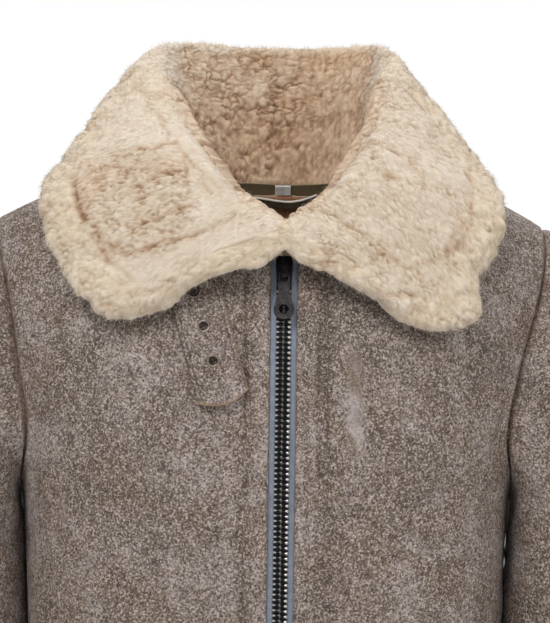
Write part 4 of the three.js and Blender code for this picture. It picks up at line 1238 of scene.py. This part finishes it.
# The dips between curls, the creases and the fold line are darkened as painted shade; swells and the top edge
# are lightened as painted highlight.
dips = plain_leaf * ((0.22 + 0.5 * curled) * (1 - fine) + (0.1 + 0.2 * curled) * (1 - small))
dips += curly * (0.25 * (1 - fine) + 0.75 * (1 - small) + 0.2 * (1 - large))
dips += combed * (0.3 * (1 - fine) + 0.5 * (1 - small) - 0.3 * along_pile)
dips += band * (0.3 * (1 - fine) + 0.4 * (1 - small) + 0.3 * (1 - large) - 0.1 * lumps - 0.1)
pile = np.clip(0.98 - dips - 0.55 * creases - 0.3 * fold_line + 0.08 * swell + 0.2 * rim_light, 0, 1)
hem = around_leaf * (1 - smooth((from_edge - 4) / 7))
hem = np.maximum(hem, (1 - smooth((from_edge - 2) / 4)) * 0.5)
give(collar_wool, "pile", np.concatenate([pile, blank]).ravel())
give(collar_wool, "tan", np.concatenate([tan, blank]).ravel())
give(collar_wool, "band", np.concatenate([band, blank]).ravel())
flow = np.zeros_like(wool_base)
flow[: len(collar_mid)] = unit(np.gradient(collar_mid, axis=0))
flow[len(collar_mid) :] = edge_way
flow = unit(flow * 0.8 + wool_way * 0.75 + np.array([0, 0, -0.35]) * around_leaf[..., None])
give(collar_wool, "flow", np.concatenate([flow, np.zeros((len(under_rows), ring_columns, 3))]).reshape(-1, 3))
rides(collar_wool, "fleece")


# Loose fibres over the wool, thickest round the edge
def fuzz_recipe():
    sizes = {"density": FIBRES_PER_SQUARE_METRE, "length": 0.0042, "thick": 0.00024}
    r = Recipe("wool_fuzz", **sizes, seed=7, material=FLEECE)
    attribute = "GeometryNodeInputNamedAttribute"
    cover = r.node(attribute, {"data_type": "FLOAT"}, {"Name": "cover"})["Attribute"]
    flow = r.node(attribute, {"data_type": "FLOAT_VECTOR"}, {"Name": "flow"})["Attribute"]
    values = {"Mesh": r.input[0], "Density": cover * r.input["density"], "Seed": r.input["seed"]}
    spots = r.node("GeometryNodeDistributePointsOnFaces", None, values)
    values = {"Vertices": 3, "Side Segments": 2, "Radius Top": 0.0, "Radius Bottom": 1.0, "Depth": 1.0}
    shape = r.node("GeometryNodeMeshCone", {"fill_type": "NONE"}, values)["Mesh"]
    where = r.node("ShaderNodeSeparateXYZ", None, {0: r.node("GeometryNodeInputPosition")[0]})
    up = where["Z"]
    bend = up * up * r.input["length"] * 0.45
    parts = {
        "X": where["X"] * r.input["thick"] + bend,
        "Y": where["Y"] * r.input["thick"],
        "Z": (up - 0.2) * r.input["length"],
    }
    moved = r.node("ShaderNodeCombineXYZ", None, parts)[0]
    shape = r.node("GeometryNodeSetPosition", None, {"Geometry": shape, "Position": moved})[0]
    shape = r.node("GeometryNodeSetShadeSmooth", None, {"Geometry": shape})[0]
    spread = {0: (-0.55, -0.55, -0.55), 1: (0.55, 0.55, 0.55), "Seed": 11}
    tilt = r.node("FunctionNodeRandomValue", {"data_type": "FLOAT_VECTOR"}, spread)[0]
    way = r.node("ShaderNodeVectorMath", {"operation": "ADD"}, {0: flow, 1: tilt})[0]
    turned = r.node("FunctionNodeAlignRotationToVector", {"axis": "Z"}, {"Vector": way})[0]
    spin = r.node("FunctionNodeRandomValue", {"data_type": "FLOAT"}, {2: 0.0, 3: 6.283, "Seed": 12})[1]
    spun = r.node("FunctionNodeAxisAngleToRotation", None, {"Axis": (0, 0, 1), "Angle": spin})[0]
    turned = r.node("FunctionNodeRotateRotation", {"rotation_space": "LOCAL"}, {0: turned, 1: spun})[0]
    size = r.node("FunctionNodeRandomValue", {"data_type": "FLOAT"}, {2: 0.6, 3: 1.3, "Seed": 13})[1]
    values = {"Points": spots[0], "Instance": shape, "Rotation": turned, "Scale": size}
    r.finish(r.node("GeometryNodeInstanceOnPoints", None, values)[0])
    return r


wool_rows = ring_rows - len(under_rows)
fuzz = make("collar_fuzz", points, faces[: (wool_rows - 1) * (ring_columns - 1)])
cover = np.clip(0.12 + 0.9 * hem + 0.25 * combed, 0, 1)
for key, values in (("cover", cover), ("pile", pile * 0.5 + 0.4), ("tan", tan), ("band", band)):
    give(fuzz, key, np.concatenate([values, blank]).ravel())
give(fuzz, "flow", np.concatenate([flow, np.zeros((len(under_rows), ring_columns, 3))]).reshape(-1, 3))
fuzz_recipe().grow(fuzz)
rides(fuzz, "fleece")


# The zip
def middle_line(z):
    """Points down the middle of the front and the direction outwards."""
    slope = (trunk_y(0 * z, z + 1, -1) - trunk_y(0 * z, z - 1, -1)) / 2
    p = np.stack([0 * z, trunk_y(0 * z, z, -1), z], -1)
    return p, unit(np.stack([0 * z, -1 + 0 * z, slope], -1))


slider_out = middle_line(np.array([float(SLIDER_Z)]))[1][0]
slider_foot = SLIDER_Z + SLIDER_HALF_LENGTH * slider_out[1]
tape_outer = ZIP_HALF - SEAM_GAP / 2


def zip_tape(side, name):
    """One half's tape, with a raised cord beside the chain."""
    low_z = HEM_Z + 1
    p, out = middle_line(np.linspace(low_z, TAPE_TOP_Z, int((TAPE_TOP_Z - low_z) / 3.0) + 2))
    x = np.linspace(*sorted((side * 0.4, side * tape_outer)), 24)
    high = -TAPE_SINK + 0.45 * np.exp(-(((np.abs(x) - 6.2) / 0.7) ** 2))
    outer = p[:, None] + out[:, None] * high[None, :, None] + np.stack([x, 0 * x, 0 * x], -1)[None]
    inner = outer - out[:, None] * TAPE_THICK
    return rides(wall(f"{name}_weave", outer, inner, [TAPE] * 3), "zip_tape", name)


tapes = [zip_tape(-1, "zip_tape_right"), zip_tape(1, "zip_tape_left")]


def tooth_recipe():
    sizes = {"pitch": TOOTH_PITCH * MM, "reach": 0.0062, "height": 0.0027, "thick": 0.0028}
    r = Recipe("zip_teeth", **sizes, material=TOOTH_METAL)
    lines = r.node("GeometryNodeMeshToCurve", None, {0: r.input[0]})[0]
    values = {"Curve": lines, "Length": r.input["pitch"]}
    spots = r.node("GeometryNodeResampleCurve", {"mode": "LENGTH"}, values)[0]
    values = {"Size": (1, 1, 1), "Vertices X": 7, "Vertices Y": 3, "Vertices Z": 3}
    cube = r.node("GeometryNodeMeshCube", None, values)["Mesh"]
    where = r.node("ShaderNodeSeparateXYZ", None, {0: r.node("GeometryNodeInputPosition")[0]})
    along = where["X"] + 0.5
    bead = along.ramp(0.55, 0.8)
    tip = along.ramp(0.3, 0.05)
    tall = 0.5 + bead * 0.42 + tip * 0.2
    deep = 0.72 + bead * 0.28
    round_y = 1.15 - where["Z"] * where["Z"] * 1.4
    round_z = 1.15 - where["Y"] * where["Y"] * 1.4
    parts = {
        "X": where["X"] * r.input["reach"],
        "Y": where["Y"] * r.input["thick"] * deep * round_y,
        "Z": where["Z"] * r.input["height"] * tall * round_z,
    }
    moved = r.node("ShaderNodeCombineXYZ", None, parts)[0]
    tooth = r.node("GeometryNodeSetPosition", None, {"Geometry": cube, "Position": moved})[0]
    tangent = r.node("GeometryNodeInputTangent")[0]
    turned = r.node("FunctionNodeAlignRotationToVector", {"axis": "Z"}, {"Vector": tangent})[0]
    values = {"Points": spots, "Instance": tooth, "Rotation": turned}
    placed = r.node("GeometryNodeInstanceOnPoints", None, values)[0]
    r.finish(placed)
    return r


teeth_lines, teeth_edges = [], []
for side, shift in ((-1, 0.0), (1, TOOTH_PITCH / 2)):
    z = np.linspace(BOX_TOP_Z + 2 + shift, slider_foot - 2, 240)
    if side < 0:
        z = z[::-1]
    p, out = middle_line(z)
    line = p + out * (-TAPE_SINK + SEAM_GAP + CHAIN_THICK / 2)
    line[:, 0] = side * 2.5
    first = len(teeth_lines) * len(z)
    teeth_edges += [(first + i, first + i + 1) for i in range(len(z) - 1)]
    teeth_lines.append(line)
teeth_mesh = bpy.data.meshes.new("zip_teeth")
teeth_mesh.from_pydata((np.concatenate(teeth_lines) * MM).tolist(), teeth_edges, [])
teeth = linked("zip_teeth", teeth_mesh)
tooth_recipe().grow(teeth)
bevel = teeth.modifiers.new("bevel", "BEVEL")
bevel.width = 0.0003
bevel.segments = 1
apply_modifiers(teeth)
rides(teeth, "zip_metal", "zip_chain")


def refined(node, name, body, width):
    """A copy of a solid with its points merged and its edges rounded."""
    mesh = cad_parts[node].data.copy()
    made = bmesh.new()
    made.from_mesh(mesh)
    bmesh.ops.remove_doubles(made, verts=made.verts, dist=1e-6)
    bmesh.ops.dissolve_limit(made, angle_limit=0.02, verts=made.verts, edges=made.edges)
    made.to_mesh(mesh)
    made.free()
    obj = linked(name, mesh)
    mesh.materials.clear()
    mesh.materials.append(DARK_METAL)
    bevel = obj.modifiers.new("bevel", "BEVEL")
    bevel.width = width * MM
    bevel.segments = 2
    bevel.limit_method = "ANGLE"
    bevel.angle_limit = math.radians(30)
    apply_modifiers(obj)
    obj.data.polygons.foreach_set("use_smooth", [False] * len(obj.data.polygons))
    return rides(obj, "zip_metal", node, body=body)


refined("zip_slider", "zip_slider_body", "jacket", 0.45)
refined("zip_pull", "zip_pull_ring", "zip_pull_tab", 0.4)
refined("zip_box", "zip_box_block", "jacket", 0.4)

# The throat strap
STRAP_ORIGIN = (-52.9, -168.1)
STRAP_ALONG = (0.282, -0.959)
STRAP_TOP = -104
STRAP_END = 34.5
STRAP_BOW = 7


def strap_points(along, across, out):
    x = STRAP_ORIGIN[0] + STRAP_ALONG[0] * along - STRAP_ALONG[1] * across
    z = STRAP_ORIGIN[1] + STRAP_ALONG[1] * along + STRAP_ALONG[0] * across
    y = trunk_y(x, z, -1)
    step = 2
    slope_x = (trunk_y(x + step, z, -1) - trunk_y(x - step, z, -1)) / (2 * step)
    slope_z = (trunk_y(x, z + step, -1) - trunk_y(x, z - step, -1)) / (2 * step)
    out_way = unit(np.stack([slope_x, -1 + 0 * x, slope_z], -1))
    lift = 4.5 * smooth((along + 8) / 42)
    return np.stack([x, y, z], -1) + out_way * (out + lift)[..., None]


t = np.linspace(0, 1, 110)[:, None]
share = np.concatenate([[-1, -0.985], np.linspace(-0.95, 0.95, 40), [0.985, 1]])[None]
strap_end = STRAP_END - STRAP_BOW * share * share
along = STRAP_TOP + (strap_end - STRAP_TOP) * t
across = STRAP_HALF * share + 0 * t
rim = np.clip(np.minimum((1 - np.abs(share)) * STRAP_HALF, strap_end - along) / 1.6, 0, 1)
rounded = 0.8 * (1 - np.sqrt(1 - (1 - rim) ** 2))
strap_outer = strap_points(along, across, SEAM_GAP + STRAP_THICK - rounded)
dent = ripple(strap_outer, 14, 7.7) * 0.35
strap_outer[..., 1] -= dent
strap_inner = strap_points(along, across, SEAM_GAP + 0 * along)
strap = wall("throat_strap_hide", strap_outer, strap_inner, [LEATHER, EDGE, EDGE], flip=False)


def eyelet_matrix(i):
    """Stands an eyelet on the strap, with its own Z outwards."""
    middle = np.array([0.0])
    at, above, ahead, behind = (
        strap_points(np.array([shift - EYELET_STEP * i]), middle, np.array([raised]))[0]
        for shift, raised in ((0, 0.0), (0, 5.0), (3, 0.0), (-3, 0.0))
    )
    out = unit(above - at)
    down = unit(ahead - behind)
    up = unit(-down + out * dot(down, out))
    right = np.cross(up, out)
    matrix = Matrix.Identity(4)
    for row in range(3):
        matrix[row] = (right[row], up[row], out[row], at[row])
    return matrix


def revolved(name, profile, matrix, segments=32):
    """A ring turned from a closed profile of radius and height, in millimetres."""
    points, faces = [], []
    count = len(profile)
    for i in range(segments):
        a = 2 * math.pi * i / segments
        points += [(r * math.cos(a), r * math.sin(a), h) for r, h in profile]
    for i in range(segments):
        for k in range(count):
            a, b = i * count + k, i * count + (k + 1) % count
            c, d = ((i + 1) % segments) * count + (k + 1) % count, ((i + 1) % segments) * count + k
            faces.append((a, d, c, b))
    points = [matrix @ Vector(p) for p in points]
    return make(name, [tuple(p) for p in points], faces)


eyelet_low = SEAM_GAP + 0.1
eyelet_top = SEAM_GAP + STRAP_THICK + 0.55
EYELET_PROFILE = [
    (EYELET_INNER, eyelet_low),
    (EYELET_OUTER, eyelet_low),
    (EYELET_OUTER + 0.1, eyelet_top - 0.7),
    (EYELET_OUTER + 0.95, eyelet_top - 0.55),
    (EYELET_OUTER + 1.0, eyelet_top - 0.25),
    (EYELET_OUTER + 0.5, eyelet_top + 0.1),
    (EYELET_OUTER - 0.3, eyelet_top + 0.12),
    (EYELET_INNER, eyelet_top - 0.4),
]
cutters = bmesh.new()
for i in range(3):
    matrix = eyelet_matrix(i)
    ring_piece = revolved(f"eyelet_ring_{i + 1}", EYELET_PROFILE, matrix)
    ring_piece.data.materials.append(EYELET_METAL)
    rides(ring_piece, "eyelet_metal", f"eyelet_{i + 1}")
    cut = bmesh.new()
    radius = EYELET_OUTER - 0.2
    bmesh.ops.create_cone(cut, cap_ends=True, segments=28, radius1=radius, radius2=radius, depth=16)
    cut.transform(Matrix.Scale(MM, 4) @ matrix)
    cut_mesh = bpy.data.meshes.new("cutter")
    cut.to_mesh(cut_mesh)
    cutters.from_mesh(cut_mesh)
cutters_mesh = bpy.data.meshes.new("cutters")
cutters.to_mesh(cutters_mesh)
cutter = linked("cutters", cutters_mesh)
holes = strap.modifiers.new("holes", "BOOLEAN")
holes.operation = "DIFFERENCE"
holes.object = cutter
holes.solver = "EXACT"
apply_modifiers(strap)
bpy.data.objects.remove(cutter)
spots = np.empty(len(strap.data.vertices) * 3)
strap.data.vertices.foreach_get("co", spots)
spots = spots.reshape(-1, 3) / MM - [STRAP_ORIGIN[0], 0, STRAP_ORIGIN[1]]
way = np.array(STRAP_ALONG) / math.hypot(*STRAP_ALONG)
down = spots[:, 0] * way[0] + spots[:, 2] * way[1]
aside = spots[:, 0] * -way[1] + spots[:, 2] * way[0]
to_end = STRAP_END - STRAP_BOW * (aside / STRAP_HALF) ** 2 - down
to_side = STRAP_HALF - np.abs(aside)
give(strap, "seam", np.full(len(spots), 30.0))
to_right = STRAP_HALF - aside
give(strap, "rim", np.maximum(smooth(1.5 - to_end / 2.0), 0.55 * smooth(1.1 - to_right / 1.3)))
# Painted shade: a darker line in the stitch groove and darker leather along the strap's sides and end.
groove = np.exp(-(((to_side - 4) / 0.8) ** 2)) * smooth(to_end / 6)
shade = smooth(1.6 - to_side / 1.4) * smooth(to_end / 3)
give(strap, "worn", -np.clip(0.8 * groove + 0.9 * shade, 0, 1))
rides(strap, "aged_leather", "throat_strap")


# Inside the back of the neck
def inside_back(x, z, depth):
    step = 2
    slope_x = (trunk_y(x + step, z, 1) - trunk_y(x - step, z, 1)) / (2 * step)
    slope_z = (trunk_y(x, z + step, 1) - trunk_y(x, z - step, 1)) / (2 * step)
    out = unit(np.stack([-slope_x, 1 + 0 * x, -slope_z], -1))
    return np.stack([x, trunk_y(x, z, 1), z], -1) - out * np.asarray(depth)[..., None]


def nape_piece(name, ends, edges, depths, finish, nodes, grid=(60, 16), crown=0.0):
    """A band inside the back: its ends in X, its top and lower edges, and its depths under the leather."""
    columns, rows = grid
    u = np.linspace(0, 1, columns)[None]
    v = np.linspace(0, 1, rows)[:, None]
    x = ends[0] + (ends[1] - ends[0]) * u + 0 * v
    top, low = edges[0](u), edges[1](u)
    z = low + (top - low) * v
    swell = crown * np.sin(np.pi * v) ** 0.5 + 0 * u
    near = inside_back(x, z, depths[1] + swell)
    far = inside_back(x, z, depths[0] + 0 * swell)
    material, slot = finish
    return rides(wall(name, near, far, [material] * 3), slot, *nodes)


def bowed(a, b, sag):
    """An edge that runs from one height to another and sags between."""
    return lambda u: a + (b - a) * u - sag * np.sin(np.pi * u**1.3)


def level_at(z):
    return lambda u: z + 0 * u


patch_piece = nape_piece(
    "neck_patch_hide",
    (-38, 38),
    (level_at(-31), level_at(-76)),
    (WALL + 1.2, WALL + 2.6),
    (PATCH, "patch_leather"),
    ["neck_patch"],
)
nape_piece(
    "hanger_loop_band",
    (-26, 27),
    (bowed(-31.5, -28.5, 5), bowed(-36.5, -33.5, 5)),
    (WALL + 2.9, WALL + 4.4),
    (LOOP, "loop_cord"),
    ["hanger_loop"],
)
nape_piece(
    "hanger_loop_piping",
    (-26, 27),
    (bowed(-30.2, -27.2, 5), bowed(-31.7, -28.7, 5)),
    (WALL + 3.0, WALL + 4.2),
    (PIPING, "loop_cord"),
    [],
    (60, 8),
    0.6,
)
neck_tape = nape_piece(
    "neck_tape",
    (-46, 46),
    (bowed(-20.5, -19.5, 2), level_at(-31)),
    (WALL - 0.6, WALL + 0.1),
    (NECK_TAPE, "loop_cord"),
    [],
)
nape_piece(
    "size_tab_cloth",
    (-8.6, 5.6),
    (level_at(-22.4), level_at(-30.6)),
    (WALL + 0.4, WALL + 1.1),
    (LABEL, "label_cloth"),
    ["size_tab"],
    (20, 10),
)

# Looks up the front and sleeve pieces again and does nothing with them
for side, name in ((-1, "front_right"), (1, "front_left")):
    front_pieces[side]
    sleeve_pieces[side]
front_pieces[-1]
for tape in tapes:
    front_pieces[-1]


# The stage
def plain(name, colour, rough=0.9, light=0.0):
    f = Finish(name)
    return f.surface(Base_Color=colour, Roughness=rough, Emission_Color=(1, 1, 1), Emission_Strength=light)


floor_mesh = bpy.data.meshes.new("floor")
floor_corners = [(-9, -9, FLOOR_Z), (9, -9, FLOOR_Z), (9, 9, FLOOR_Z), (-9, 9, FLOOR_Z)]
floor_mesh.from_pydata(floor_corners, [], [(0, 1, 2, 3)])
floor_mesh.materials.append(plain("floor", (0.86, 0.86, 0.86)))
floor = linked("floor", floor_mesh)
dome_mesh = bpy.data.meshes.new("backdrop")
dome_form = bmesh.new()
bmesh.ops.create_uvsphere(dome_form, u_segments=48, v_segments=24, radius=14)
bmesh.ops.reverse_faces(dome_form, faces=dome_form.faces)
dome_form.to_mesh(dome_mesh)
dome_mesh.materials.append(plain("backdrop", (0, 0, 0), 1.0, 1.0))
dome = linked("backdrop", dome_mesh)
dome.visible_diffuse = False
dome.visible_glossy = False
dome.visible_shadow = False
dome.visible_transmission = False

world = bpy.data.worlds.new("studio")
bpy.context.scene.world = world
world.use_nodes = True
world.node_tree.nodes["Background"].inputs[0].default_value = (1, 1, 1, 1)
world.node_tree.nodes["Background"].inputs[1].default_value = 0.45


def lamp(name, spot, aim, size, watts):
    data = bpy.data.lights.new(name, "AREA")
    data.shape = "DISK"
    data.size = size
    data.energy = watts
    obj = linked(name, data)
    obj.location = spot
    obj.rotation_mode = "QUATERNION"
    obj.rotation_quaternion = (Vector(aim) - Vector(spot)).to_track_quat("-Z", "Y")


lamp("key", (-1.2, -2.0, 2.1), (0, 0, -0.2), 1.4, 66)
lamp("fill", (2.0, -1.8, 0.7), (0, 0, -0.25), 2.2, 24)
lamp("top", (0.1, 0.6, 2.3), (0, 0, -0.1), 1.6, 26)
lamp("behind", (0.4, 2.6, 1.2), (0, 0, -0.2), 2.2, 30)

camera_data = bpy.data.cameras.new("camera")
camera_data.sensor_width = SENSOR_WIDTH
camera_data.lens = SENSOR_WIDTH * CAMERA_BACK / (PHOTO_PIXELS_HIGH * PIXEL_SIZE)
camera_data.clip_start = 0.1
camera_data.clip_end = 60
camera = linked("camera", camera_data)
camera.location = (CAMERA_X * MM, -CAMERA_BACK * MM, CAMERA_Z * MM)
camera.rotation_mode = "XYZ"
upright = Matrix.Rotation(math.radians(90), 3, "X")
camera.rotation_euler = (Matrix.Rotation(-CAMERA_ROLL, 3, "Y") @ upright).to_euler()
bpy.context.scene.camera = camera
bpy.context.scene.view_settings.view_transform = "Standard"
